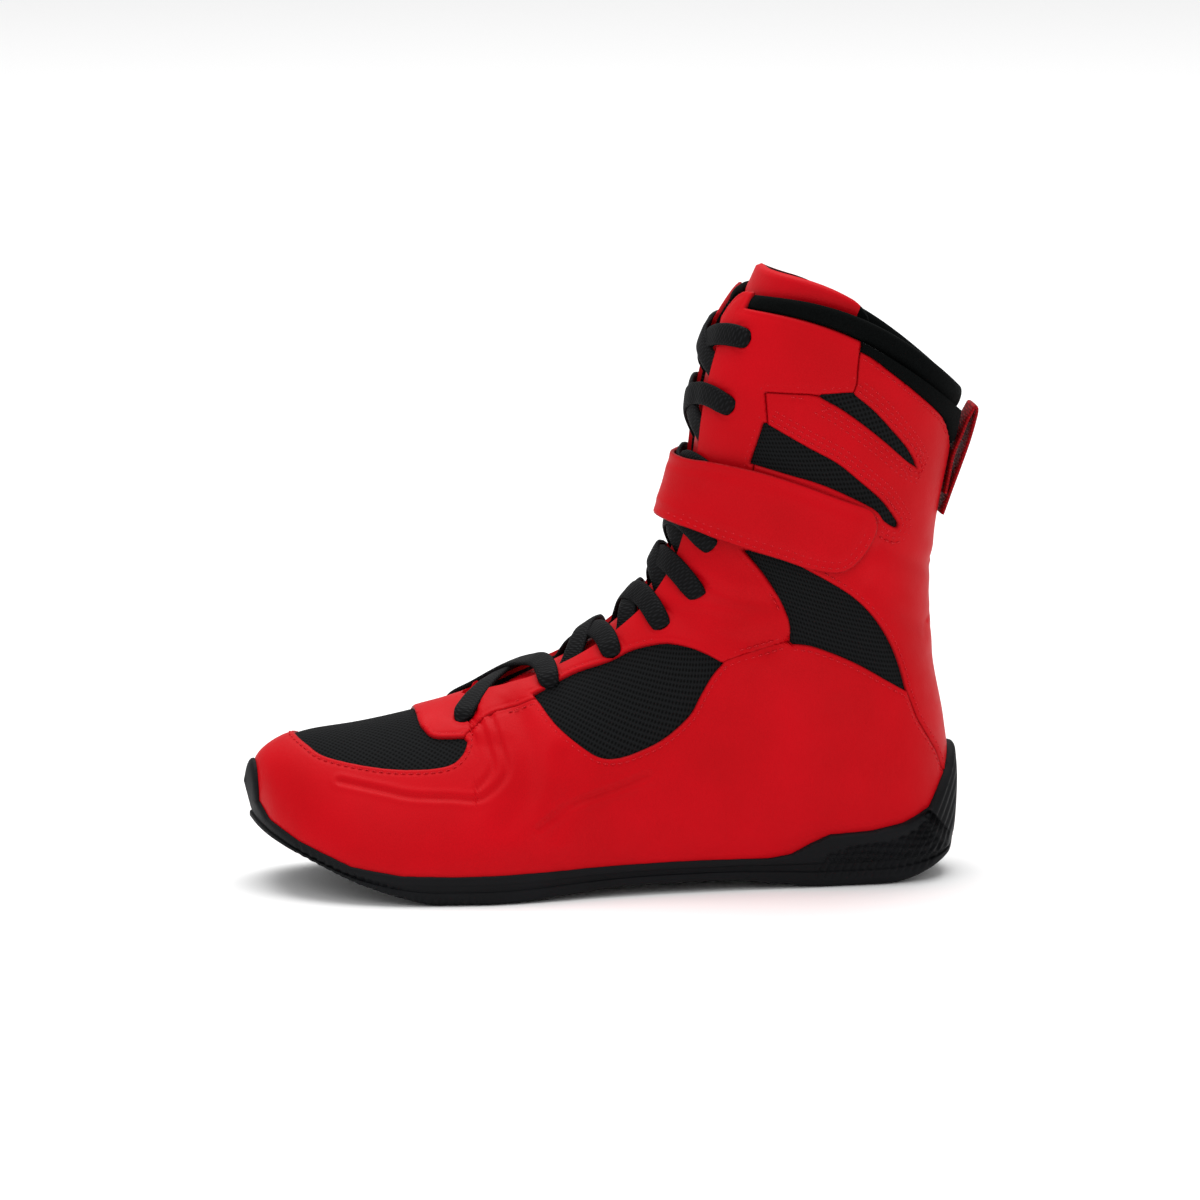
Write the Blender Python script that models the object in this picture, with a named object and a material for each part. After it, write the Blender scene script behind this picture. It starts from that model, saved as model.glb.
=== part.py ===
# Boxing boot, left shoe: sole, upper, tongue, insole, overlays, cuff, strap, laces and pull loop.
# The toe points along -X, the outer side faces -Y, and Z = 0 is the floor.
# All tables are in millimetres; the mesh is written in metres.
import bpy
import bmesh
from math import cos, pi, sin, sqrt
from mathutils import Vector

for old in list(bpy.data.objects):
    bpy.data.objects.remove(old)

# Driving dimensions, mm
MM = 0.001
UPPER_WALL = 1.8
PIECE_CLEARANCE = 0.3
OVERLAY_THICKNESS = 1.0
TONGUE_THICKNESS = 4.0
INSOLE_THICKNESS = 4.0
THROAT_HALF_GAP = 12.0
RIM_SIDE = 3.0
RIM_TOE = 3.6
RIM_HEEL = 5.0
HALF_COLUMNS = 8
LEAST_DROP = -0.12

# Stations of the last, from the toe tip to above the collar.
# Each is a plane square to XZ from a bottom or back point to a top or front point.
# foot is the half-width at the bottom point, low and high those of the body at either end,
# bulge is added between them, rise and crown are the shares of the height that round in,
# shift and lean move the bottom and the top sideways, + to the inner side; bow lifts the middle.
STATION_COLUMNS = (
    "bx", "bz", "tx", "tz", "foot", "low", "high", "bulge", "rise", "crown", "shift", "lean", "bow",
)
STATIONS = (
    (-140.5, 31.0, -143.3, 42.0, 0.0, 0.0, 0.0, 0.0, 0.3, 0.90, 10.0, 10.0, 0.0),
    (-139.4, 29.4, -142.4, 47.0, 10.0, 10.5, 9.0, 0.0, 0.3, 0.90, 9.7, 9.6, 0.0),
    (-136.2, 26.4, -139.0, 53.0, 19.5, 20.5, 18.0, 0.0, 0.3, 0.90, 8.6, 8.6, 0.0),
    (-130.4, 22.6, -131.5, 58.6, 27.5, 29.0, 27.0, 0.0, 0.3, 0.92, 7.2, 7.6, 0.0),
    (-120.0, 17.4, -119.5, 62.8, 36.0, 37.5, 35.0, 0.0, 0.3, 0.95, 5.2, 6.2, 0.0),
    (-103.0, 11.2, -101.0, 65.6, 43.5, 45.5, 41.0, 0.0, 0.3, 0.95, 2.6, 4.6, 0.0),
    (-83.0, 8.8, -81.0, 69.8, 47.0, 49.0, 42.0, 0.0, 0.3, 0.92, -0.2, 3.0, 0.0),
    (-60.0, 8.6, -58.0, 75.8, 46.5, 48.5, 40.0, 1.0, 0.3, 0.85, -2.8, 2.0, 0.0),
    (-35.0, 9.0, -34.0, 86.4, 42.0, 44.5, 36.0, 1.5, 0.3, 0.72, -4.6, 1.2, 0.0),
    (-8.0, 9.8, -12.0, 97.2, 35.0, 38.5, 30.5, 1.5, 0.3, 0.58, -5.0, 0.6, 0.0),
    (22.0, 10.2, 4.5, 109.0, 31.0, 35.5, 27.5, 1.0, 0.3, 0.46, -4.2, 0.2, 0.0),
    (53.0, 10.2, 15.0, 119.0, 30.0, 34.5, 27.5, 0.5, 0.3, 0.40, -2.4, 0.0, 0.0),
    (83.0, 10.2, 21.0, 128.0, 29.0, 34.0, 28.5, 0.5, 0.3, 0.38, -1.2, 0.0, 0.0),
    (108.0, 10.4, 25.0, 136.0, 27.6, 33.5, 29.5, 1.0, 0.28, 0.38, -0.5, 0.0, 0.0),
    (125.0, 11.2, 27.5, 143.5, 22.5, 33.0, 30.5, 1.5, 0.26, 0.38, -0.2, 0.0, 0.0),
    (134.5, 12.6, 29.6, 151.0, 13.5, 32.5, 31.5, 2.0, 0.25, 0.39, 0.0, 0.0, 0.0),
    (138.6, 16.0, 31.2, 158.0, 0.0, 32.0, 32.0, 2.5, 0.25, 0.40, 0.0, 0.0, 0.0),
    (140.2, 38.0, 33.0, 168.5, 0.0, 31.5, 33.0, 3.0, 0.28, 0.41, 0.0, 0.0, 0.0),
    (137.6, 63.0, 34.6, 180.0, 0.0, 31.0, 34.0, 3.0, 0.32, 0.42, 0.0, 0.0, 1.0),
    (132.8, 90.0, 36.2, 192.0, 0.0, 31.5, 34.5, 2.5, 0.36, 0.43, 0.0, 0.0, 2.4),
    (131.2, 116.0, 38.4, 203.5, 0.0, 32.5, 35.0, 2.0, 0.40, 0.44, 0.0, 0.0, 4.8),
    (133.6, 142.0, 41.2, 214.5, 0.0, 34.0, 35.5, 1.5, 0.42, 0.45, 0.0, 0.0, 7.5),
    (138.8, 170.0, 45.4, 226.0, 0.0, 36.0, 36.5, 0.8, 0.44, 0.46, 0.0, 0.0, 10.5),
    (144.6, 198.5, 53.5, 239.5, 0.0, 38.0, 37.5, 0.0, 0.46, 0.47, 0.0, 0.0, 12.5),
    (149.0, 213.0, 60.0, 253.0, 0.0, 39.0, 38.0, 0.0, 0.46, 0.47, 0.0, 0.0, 12.5),
)
THROAT_ROW = 7.0
HEEL_ROW = 16.0
COLLAR_ROW = 23.0
LAST_ROW = 24.0
UPPER_TOP_ROW = 22.65
SPRUNG_ROWS = 2.5

# Side view of the ground contact, x and z of the sole's underside
UNDERSIDE = (
    (-150.0, 38.0), (-143.0, 28.5), (-138.0, 24.0), (-122.0, 16.0), (-103.0, 7.4), (-88.0, 2.8),
    (-75.0, 0.0), (-48.0, 0.0), (-22.0, 1.8), (6.0, 3.8), (38.0, 4.0), (67.0, 2.0), (84.0, 0.0),
    (112.0, 0.0), (121.0, 1.4), (129.0, 4.2), (136.0, 8.4), (141.0, 13.5), (150.0, 26.0),
)

# Side view of the top edge of the rubber, from the toe guard to the heel cup
RUBBER_TOP = (
    (-160.0, 55.5), (-141.0, 55.5), (-140.2, 36.0), (-137.0, 30.0), (-127.0, 23.6), (-108.0, 15.4),
    (-89.0, 12.4), (-69.0, 11.9), (-49.0, 12.1), (-29.0, 12.5), (0.0, 13.2), (34.0, 13.4),
    (62.0, 13.0), (71.0, 14.4), (79.0, 18.6), (87.0, 22.0), (104.0, 23.0), (117.0, 25.6),
    (128.0, 31.0), (136.0, 45.0), (140.5, 57.0), (143.0, 62.5), (160.0, 62.5),
)


def table_value(rows, q):
    """Monotone cubic through (position, value) pairs: slopes are the harmonic mean of the neighbours'."""
    if q <= rows[0][0]:
        return rows[0][1]
    if q >= rows[-1][0]:
        return rows[-1][1]
    i = max(k for k in range(len(rows) - 1) if rows[k][0] <= q)
    span = rows[i + 1][0] - rows[i][0]
    chord = [
        (rows[k + 1][1] - rows[k][1]) / (rows[k + 1][0] - rows[k][0])
        for k in range(len(rows) - 1)
    ]

    def slope(k):
        if k == 0:
            return chord[0]
        if k == len(rows) - 1:
            return chord[-1]
        left, right = chord[k - 1], chord[k]
        return 2 * left * right / (left + right) if left * right > 0 else 0.0

    s = (q - rows[i][0]) / span
    return (
        (2 * s ** 3 - 3 * s ** 2 + 1) * rows[i][1]
        + (s ** 3 - 2 * s ** 2 + s) * span * slope(i)
        + (3 * s ** 2 - 2 * s ** 3) * rows[i + 1][1]
        + (s ** 3 - s ** 2) * span * slope(i + 1)
    )


COLUMN_TABLES = {
    name: tuple((float(k), row[c]) for k, row in enumerate(STATIONS))
    for c, name in enumerate(STATION_COLUMNS)
}
STATION_CACHE = {}


def station(v):
    """The station at row v, as a dictionary of the table's columns."""
    key = round(v, 4)
    if key not in STATION_CACHE:
        STATION_CACHE[key] = {name: table_value(rows, key) for name, rows in COLUMN_TABLES.items()}
    return STATION_CACHE[key]


def rounding(q):
    """Quarter ellipse: 0 at q = 0, 1 from q = 1 on."""
    q = min(max(q, 0.0), 1.0)
    return sqrt(max(0.0, 1 - (1 - q) ** 2))


def half_width(row, a):
    """Half-width at share a of the height: the body's width, rounded in at the bottom and the top."""
    body = row["low"] * (1 - a) + row["high"] * a + row["bulge"] * 4 * a * (1 - a)
    open_share = row["foot"] / row["low"] if row["low"] > 0 else 0.0
    bottom = open_share + (1 - open_share) * rounding(a / row["rise"])
    return body * bottom * rounding((1 - a) / row["crown"])


def height_share(row, t):
    """Even spacing round the section: cosine where the bottom is closed, sine where it is open."""
    open_share = row["foot"] / row["low"] if row["low"] > 0 else 0.0
    return open_share * sin(pi * t / 2) + (1 - open_share) * (1 - cos(pi * t)) / 2


def throat_gap(v):
    """Half the opening between the facings: it opens like a rounded slot from the throat row."""
    return THROAT_HALF_GAP * rounding((v - THROAT_ROW) / 1.2) if v > THROAT_ROW else 0.0


GAP_CACHE = {}


def throat_share(v):
    """The share t round the section at which the half-width falls to the throat gap."""
    gap = throat_gap(v)
    if gap <= 0:
        return 1.0
    key = round(v, 4)
    if key not in GAP_CACHE:
        row = station(v)
        lo, hi = 0.6, 1.0
        for _ in range(40):
            mid = (lo + hi) / 2
            lo, hi = (mid, hi) if half_width(row, height_share(row, mid)) > gap else (lo, mid)
        GAP_CACHE[key] = lo
    return GAP_CACHE[key]


def last_point(v, t, side):
    """Point of the last at row v, share t from the bottom or back to the top or front; side -1 is outer."""
    row = station(v)
    a = height_share(row, t)
    sideways = row["shift"] * (1 - a) + row["lean"] * a
    return Vector((
        row["bx"] + (row["tx"] - row["bx"]) * a,
        sideways + side * half_width(row, a),
        row["bz"] + (row["tz"] - row["bz"]) * a + row["bow"] * 4 * a * (1 - a),
    ))


def last_normal(v, t, side):
    """Outward unit normal, from the differences along the row and round the section."""
    dv, dt = 0.02, 0.004
    v = min(max(v, 0.01), LAST_ROW)
    along = last_point(min(v + dv, LAST_ROW), t, side) - last_point(max(v - dv, 0.0), t, side)
    t0, t1 = max(t - dt, 0.0), min(t + dt, 1.0)
    around = last_point(v, t1, side) - last_point(v, t0, side)
    if t > 1 - dt:
        around = Vector((0.0, -side, 0.0))
    elif t < dt and v >= HEEL_ROW:
        around = Vector((0.0, side, 0.0))
    elif v <= 0.01:
        around.y = 0.0
    normal = along.cross(around)
    if side > 0:
        normal.negate()
    on_seam = v <= 0.01 or t > 1 - dt or (t < dt and v >= HEEL_ROW - 0.0001)
    if on_seam:
        normal.y = 0.0
    normal.normalize()
    if v < HEEL_ROW + 0.5 and normal.z < LEAST_DROP:
        flat = Vector((normal.x, normal.y, 0.0)).normalized()
        if t < dt:
            flat = feather_normal(min(v, HEEL_ROW), side)
        normal = flat * sqrt(1 - LEAST_DROP ** 2) + Vector((0.0, 0.0, LEAST_DROP))
    return normal


def skin(v, t, side, offset):
    """The last's surface moved outward by offset."""
    return last_point(v, t, side) + last_normal(v, t, side) * offset


def feather_normal(v, side):
    """Outward direction in plan at the bottom edge."""
    dv = 0.05
    here = last_point(min(v + dv, HEEL_ROW), 0.0, side)
    back = last_point(max(v - dv, 0.0), 0.0, side)
    along = here - back
    if v <= dv or v >= HEEL_ROW - dv:
        return Vector((-1.0 if v <= dv else 1.0, 0.0, 0.0))
    return Vector((-along.y, along.x, 0.0)).normalized() * side


# Rows of the mesh: closer at the toe tip, at the throat's end and where the heel turns
MASTER_ROWS = (
    0.0, 0.3, 0.8, 1.5, 2.4, 3.4, 4.6, 5.6, 6.4, 7.0, 7.12, 7.45, 8.5, 9.7, 10.7, 11.6, 12.5, 13.2,
    13.9, 14.5, 15.1, 15.6, 16.0, 16.6, 17.5, 18.5, 19.5, 20.5, 21.5, 22.2, 22.65, 23.0, 24.0,
)


def rows_between(v0, v1):
    """The common rows between v0 and v1, so that every layer has its corners over the others'."""
    near = 0.12
    inside = [v for v in MASTER_ROWS if v0 + near < v < v1 - near or v in (v0, v1)]
    return sorted(set([v0, v1] + inside))


def open_columns(v):
    """Shares round the section from the bottom or back to the throat's edge."""
    edge = throat_share(v)
    return [edge * j / HALF_COLUMNS for j in range(HALF_COLUMNS + 1)]


def closed_columns(v):
    """The same shares, carried on over the throat to the middle."""
    return open_columns(v) + [1.0]


def collection_named(name):
    """A scene collection of that name."""
    made = bpy.data.collections.new(name)
    bpy.context.scene.collection.children.link(made)
    return made


BOOT = collection_named("boxing_boot")
CUTTERS = collection_named("cutters")
CUTTERS.hide_render = True

COLOURS = {
    "rubber": (0.012, 0.013, 0.015, 1.0),
    "mesh": (0.02, 0.02, 0.02, 1.0),
    "red": (0.58, 0.01, 0.015, 1.0),
    "lining": (0.015, 0.015, 0.016, 1.0),
    "webbing": (0.018, 0.018, 0.02, 1.0),
}
MATERIALS = {}
for material_name, colour in COLOURS.items():
    material = bpy.data.materials.new(material_name)
    material.use_nodes = True
    material.node_tree.nodes["Principled BSDF"].inputs["Base Color"].default_value = colour
    material.node_tree.nodes["Principled BSDF"].inputs["Roughness"].default_value = 0.6
    MATERIALS[material_name] = material


def mesh_object(name, points, faces, material, home=BOOT):
    """An object from millimetre points, its doubled points joined and its faces turned outward."""
    mesh = bpy.data.meshes.new(name)
    mesh.from_pydata([tuple(p * MM for p in point) for point in points], [], faces)
    bm = bmesh.new()
    bm.from_mesh(mesh)
    bmesh.ops.remove_doubles(bm, verts=bm.verts, dist=0.00001)
    bmesh.ops.dissolve_degenerate(bm, edges=bm.edges, dist=0.00001)
    loose = [v for v in bm.verts if not v.link_faces]
    bmesh.ops.delete(bm, geom=loose, context="VERTS")
    bmesh.ops.recalc_face_normals(bm, faces=bm.faces)
    bm.to_mesh(mesh)
    bm.free()
    mesh.materials.append(MATERIALS[material])
    obj = bpy.data.objects.new(name, mesh)
    home.objects.link(obj)
    if home is CUTTERS:
        obj.display_type = "WIRE"
        obj.hide_render = True
    return obj


def apply_modifiers(obj):
    """Replace the object's mesh by the one its modifiers give."""
    depsgraph = bpy.context.evaluated_depsgraph_get()
    made = bpy.data.meshes.new_from_object(obj.evaluated_get(depsgraph))
    old_mesh = obj.data
    obj.modifiers.clear()
    obj.data = made
    bpy.data.meshes.remove(old_mesh)
    made.name = obj.name


def clean(obj):
    """Join the flat splinters that a cut leaves."""
    bm = bmesh.new()
    bm.from_mesh(obj.data)
    bmesh.ops.remove_doubles(bm, verts=bm.verts, dist=0.00002)
    bmesh.ops.dissolve_limit(bm, angle_limit=0.004, verts=bm.verts, edges=bm.edges)
    bmesh.ops.triangulate(bm, faces=bm.faces)
    bm.to_mesh(obj.data)
    bm.free()


def boolean(obj, cutter, operation="DIFFERENCE", folded=False):
    """An exact Boolean of obj with cutter, applied; folded clears an obj that crosses itself."""
    step = obj.modifiers.new("cut", "BOOLEAN")
    step.operation = operation
    step.solver = "EXACT"
    step.use_self = folded
    step.object = cutter
    apply_modifiers(obj)


def grid_faces(rows, columns, first=0):
    """Triangles of a grid of points stored row by row, split the same way in every layer."""
    faces = []
    for i in range(rows - 1):
        for j in range(columns - 1):
            k = first + i * columns + j
            faces += [(k, k + 1, k + columns), (k + 1, k + columns + 1, k + columns)]
    return faces


def shell(name, rows, columns, outer, inner, material, home=BOOT):
    """Both halves of the last's skin at the shares columns(v), as a closed wall between two offsets."""
    places, outside, inside, halves = {}, [], [], []
    for side in (-1, 1):
        index = []
        for v in rows:
            for t in columns(v):
                point = skin(v, t, side, outer(v, t))
                key = tuple(round(p, 3) for p in point)
                if key not in places:
                    places[key] = len(outside)
                    outside.append(point)
                    inside.append(skin(v, t, side, inner(v, t)))
                index.append(places[key])
        faces = grid_faces(len(rows), len(columns(rows[0])))
        turn = 1 if side < 0 else -1
        halves += [tuple(index[k] for k in face)[::turn] for face in faces]
    halves = [face for face in halves if len(set(face)) == 3]
    edges = {}
    for face in halves:
        for k in range(3):
            edges[(face[k], face[(k + 1) % 3])] = True
    count = len(outside)
    faces = halves + [tuple(k + count for k in face)[::-1] for face in halves]
    for a, b in edges:
        if (b, a) not in edges:
            faces += [(b, a, a + count), (b, a + count, b + count)]
    return mesh_object(name, outside + inside, faces, material, home)


def side_prism(name, outline, y0=-90.0, y1=90.0):
    """A prism of an x, z outline, from y0 to y1."""
    n = len(outline)
    points = [Vector((x, y, z)) for y in (y0, y1) for x, z in outline]
    faces = [tuple(range(n)), tuple(range(2 * n - 1, n - 1, -1))]
    faces += [(k, (k + 1) % n, n + (k + 1) % n, n + k) for k in range(n)]
    return mesh_object(name, points, faces, "mesh", CUTTERS)


def rim_thickness(v, t):
    """Thickness of the rubber outside the upper: toe guard, side band, heel cup."""
    toe = max(0.0, 1 - v / SPRUNG_ROWS)
    heel = rounding((v - 11.0) / 3.5) if v > 11.0 else 0.0
    return RIM_SIDE + (RIM_TOE - RIM_SIDE) * toe + (RIM_HEEL - RIM_SIDE) * heel


# Outsole: the upper's own form grown by the rubber and stood on the ground line, cut at the
# rubber's top edge, then hollowed by the same form with the clearance
SOLE_TOP_ROW = 19.5
sole_rows = rows_between(0.0, SOLE_TOP_ROW)
foot_rows = [v for v in sole_rows if v <= HEEL_ROW]
UNDERCUT = 3.4
HEEL_EASE = 1.1
STEP_DEPTH = 0.9


def sole_edge(v, side):
    """Points of the sole's side at row v, from the ground up to the step under the feather line."""
    p = last_point(v, 0.0, side)
    out = feather_normal(v, side)
    rim = rim_thickness(v, 0.0)
    ground = table_value(UNDERSIDE, (p + out * (rim - UNDERCUT)).x)
    levels = ((0.0, rim - UNDERCUT), (0.12, rim - 0.9), (0.34, rim), (0.60, rim), (0.64, rim - STEP_DEPTH))
    points = []
    for share, reach in levels:
        q = p + out * reach
        points.append(Vector((q.x, q.y, ground + (p.z - ground) * share)))
    return points


def sole_body():
    """The closed outer form of the sole up to SOLE_TOP_ROW."""
    points, faces = [], []
    columns = HALF_COLUMNS + 2
    ends = []
    for side in (-1, 1):
        first = len(points)
        for v in sole_rows:
            points += [skin(v, t, side, rim_thickness(v, 0) - 0.5) for t in closed_columns(v)]
        faces += grid_faces(len(sole_rows), columns, first)
        ends.append(list(range(first + (len(sole_rows) - 1) * columns, len(points))))
        foot = len(points)
        for v in foot_rows:
            edge = sole_edge(v, side)
            points += edge + [skin(v, 0.0, side, rim_thickness(v, 0) - 0.5)]
        faces += grid_faces(len(foot_rows), 6, foot)
        under = len(points)
        for v in foot_rows:
            edge = sole_edge(v, side)[0]
            other = sole_edge(v, -side)[0]
            middle = (edge + other) / 2
            points += [edge, (edge + middle) / 2, middle]
        faces += grid_faces(len(foot_rows), 3, under)
    faces.append(tuple(ends[0] + ends[1][-2:0:-1]))
    return mesh_object("outsole", points, faces, "rubber")


def heel_ease(v):
    """Extra clearance where the heel's tight corner turns between rows."""
    return HEEL_EASE * rounding((v - 10.0) / 2.0) * rounding((19.0 - v) / 2.0) if 10.0 < v < 19.0 else 0.0


def inner_body(name, offset, drop, top_row):
    """The last's closed form moved out by offset, its flat bottom lowered by drop."""
    rows = rows_between(0.0, top_row)
    points, faces, ends = [], [], []
    columns = HALF_COLUMNS + 2
    for side in (-1, 1):
        first = len(points)
        for v in rows:
            points += [skin(v, t, side, offset + heel_ease(v)) for t in closed_columns(v)]
        faces += grid_faces(len(rows), columns, first)
        ends.append(list(range(first + (len(rows) - 1) * columns, len(points))))
        feet = len(points)
        foot = [v for v in rows if v <= HEEL_ROW]
        for v in foot:
            edge = skin(v, 0.0, side, offset + heel_ease(v))
            other = skin(v, 0.0, -side, offset + heel_ease(v))
            low = Vector((edge.x, edge.y, station(v)["bz"] - drop))
            low_other = Vector((other.x, other.y, station(v)["bz"] - drop))
            points += [edge, low, (low + low_other) / 2]
        faces += grid_faces(len(foot), 3, feet)
    faces.append(tuple(ends[0] + ends[1][-2:0:-1]))
    return mesh_object(name, points, faces, "mesh", CUTTERS)


outsole = sole_body()

# The rubber ends at its top edge and is hollow where the upper stands in it
above = side_prism("above_rubber", [(160.0, 200.0), (-160.0, 200.0)] + list(RUBBER_TOP))
boolean(outsole, above, folded=True)

# Main grooves across the tread, and the slanted ribs on the heel's sides
GROOVE_WIDTH = 2.4
GROOVE_DEPTH = 1.3
for x in (-114.0, -104.0, -94.0, -84.0, -40.0, -30.0, 74.0, 119.0):
    ground = table_value(UNDERSIDE, x)
    outline = [(x - GROOVE_WIDTH, ground - GROOVE_DEPTH), (x + GROOVE_WIDTH, ground - GROOVE_DEPTH), (x, ground + GROOVE_DEPTH)]
    boolean(outsole, side_prism("tread_groove", outline))
RIB_REACH = 33.0
for x in (86.0, 93.0, 100.0):
    outline = [(x, 4.0), (x + 1.8, 4.0), (x + 7.8, 17.0), (x + 6.0, 17.0)]
    boolean(outsole, side_prism("heel_slot_outer", outline, -60.0, -RIB_REACH))
    boolean(outsole, side_prism("heel_slot_inner", outline, RIB_REACH, 60.0))

boolean(outsole, inner_body("upper_form", PIECE_CLEARANCE, PIECE_CLEARANCE, SOLE_TOP_ROW + 0.5))

# Upper: one hollow wall from the toe to the collar, open at the sole, the throat and the collar
upper = shell(
    "upper", rows_between(0.0, UPPER_TOP_ROW), open_columns,
    lambda v, t: 0.0, lambda v, t: -UPPER_WALL, "mesh",
)

# Insole: a flat board inside the bottom edge, clear of the wall and of the sole's bed
INSOLE_INSET = UPPER_WALL + 3 * PIECE_CLEARANCE
INSOLE_END_ROW = 14.4
insole_rows = rows_between(0.0, INSOLE_END_ROW)
points, faces, heel_end = [], [], []
for side in (-1, 1):
    first = len(points)
    for v in insole_rows:
        p = last_point(v, 0.0, side) - feather_normal(v, side) * INSOLE_INSET
        q = last_point(v, 0.0, -side) - feather_normal(v, -side) * INSOLE_INSET
        middle = (p + q) / 2
        if v == 0.0:
            p = middle
        low, high = Vector((0, 0, 0.1)), Vector((0, 0, INSOLE_THICKNESS))
        points += [middle + low, p + low, p + high, middle + high]
    faces += grid_faces(len(insole_rows), 4, first)
    heel_end.append(list(range(len(points) - 4, len(points))))
faces.append(tuple(heel_end[0] + heel_end[1][2:0:-1]))
insole = mesh_object("insole", points, faces, "lining")

# Tongue: a padded leaf inside the facings, wider toward the ankle, standing above the collar
TONGUE_FIRST_COLUMN = 4
TONGUE_DEPTH = ((6.0, 2.2), (21.0, 2.2), (22.4, 4.6), (24.0, 4.6))
tongue = shell(
    "tongue", rows_between(6.2, 23.95), lambda v: closed_columns(v)[TONGUE_FIRST_COLUMN:],
    lambda v, t: -table_value(TONGUE_DEPTH, v),
    lambda v, t: -table_value(TONGUE_DEPTH, v) - TONGUE_THICKNESS, "red",
)


def ribbon_outline(path, width):
    """Closed outline of a side-view line given a width: each corner is moved along its mean normal."""
    left, right = [], []
    for k, (x, z) in enumerate(path):
        x0, z0 = path[max(k - 1, 0)]
        x1, z1 = path[min(k + 1, len(path) - 1)]
        length = sqrt((x1 - x0) ** 2 + (z1 - z0) ** 2)
        nx, nz = -(z1 - z0) / length * width / 2, (x1 - x0) / length * width / 2
        left.append((x + nx, z + nz))
        right.append((x - nx, z - nz))
    return left + right[::-1]


def islands(obj):
    """The closed bodies of a mesh, as lists of vertex indices."""
    neighbours = {v.index: set() for v in obj.data.vertices}
    for edge in obj.data.edges:
        a, b = edge.vertices
        neighbours[a].add(b)
        neighbours[b].add(a)
    left, found = set(neighbours), []
    while left:
        stack, body = [left.pop()], []
        while stack:
            k = stack.pop()
            body.append(k)
            fresh = neighbours[k] & left
            left -= fresh
            stack += fresh
        found.append(body)
    return found


def take_body(obj, name, near, material):
    """A new object from the body of obj that comes closest to the point near."""
    bodies = islands(obj)
    goal = Vector(near) * MM
    best = min(bodies, key=lambda body: min((obj.data.vertices[k].co - goal).length for k in body))
    bm = bmesh.new()
    bm.from_mesh(obj.data)
    bm.verts.ensure_lookup_table()
    keep = set(best)
    bmesh.ops.delete(bm, geom=[v for v in bm.verts if v.index not in keep], context="VERTS")
    mesh = bpy.data.meshes.new(name)
    bm.to_mesh(mesh)
    bm.free()
    mesh.materials.clear()
    mesh.materials.append(MATERIALS[material])
    made = bpy.data.objects.new(name, mesh)
    BOOT.objects.link(made)
    return made


# Windows in the red overlay, as side-view outlines cut through both sides
VAMP_WINDOW = (
    (-127.0, 82.0), (-126.5, 61.6), (-122.0, 58.8), (-115.2, 55.3), (-96.8, 52.4), (-80.4, 52.0),
    (-68.0, 53.6), (-62.0, 57.5), (-59.5, 62.0), (-61.0, 63.3), (-72.0, 63.0), (-76.0, 65.5),
    (-77.5, 69.0), (-77.5, 82.0),
)
SIDE_WINDOW = (
    (-31.7, 79.0), (-15.2, 87.3), (-1.2, 92.3), (8.2, 97.0), (17.6, 99.6), (24.9, 99.9), (34.3, 97.6),
    (43.7, 92.8), (39.2, 87.6), (34.3, 79.5), (29.8, 71.8), (20.4, 63.8), (11.0, 59.1), (0.8, 56.1),
    (-7.8, 56.7), (-17.2, 62.7), (-24.6, 69.4), (-29.5, 76.1),
)
ANKLE_WINDOW = (
    (52.0, 139.1), (69.4, 134.6), (79.6, 129.6), (93.9, 120.8), (103.3, 112.0), (110.7, 100.7),
    (115.2, 89.9), (118.0, 79.6), (108.6, 85.5), (98.4, 91.5), (88.2, 96.3), (78.0, 99.9),
    (70.2, 100.6), (70.2, 109.1), (66.5, 118.6), (60.0, 129.1),
)
MIDDLE_WINDOW = (
    (60.1, 191.0), (76.9, 181.1), (89.1, 174.2), (98.5, 166.4), (108.0, 157.7), (114.9, 148.1),
    (113.7, 146.5), (108.8, 149.5), (103.5, 155.4), (84.6, 164.9), (67.5, 170.4), (54.8, 174.0),
)
TOP_WINDOW = (
    (80.7, 202.4), (89.3, 202.9), (94.6, 203.1), (103.6, 195.5), (111.0, 187.5), (117.5, 179.9),
    (121.2, 174.1), (122.8, 170.3), (117.5, 174.2), (108.9, 182.0), (99.5, 189.8), (90.1, 196.6),
    (83.6, 200.3),
)

# Joins between the overlay's pieces, each running from one window into the next
JOINS = {
    "facing_front": ((-61.5, 60.5), (-59.2, 64.6), (-50.0, 70.0), (-41.0, 74.2), (-29.5, 78.0)),
    "facing_ankle": ((41.0, 92.0), (50.0, 95.6), (60.0, 98.6), (73.0, 103.0)),
    "facing_strap": ((54.5, 136.5), (53.4, 155.0), (57.0, 177.0)),
    "facing_shaft": ((61.8, 187.6), (60.8, 203.0), (78.0, 202.6), (88.0, 200.6)),
    "facing_collar": ((94.8, 201.4), (96.6, 206.5), (97.8, 221.0), (98.6, 222.5)),
    "heel_seam": ((114.6, 86.2), (118.6, 78.5), (123.1, 67.4), (131.7, 53.2), (137.5, 38.0)),
}
COLLAR_PANEL = (
    (98.2, 246.0), (98.2, 219.4), (104.0, 216.0), (120.0, 203.0), (133.0, 191.0), (137.4, 182.5),
    (138.8, 176.5), (165.0, 176.5), (165.0, 246.0),
)

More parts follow.
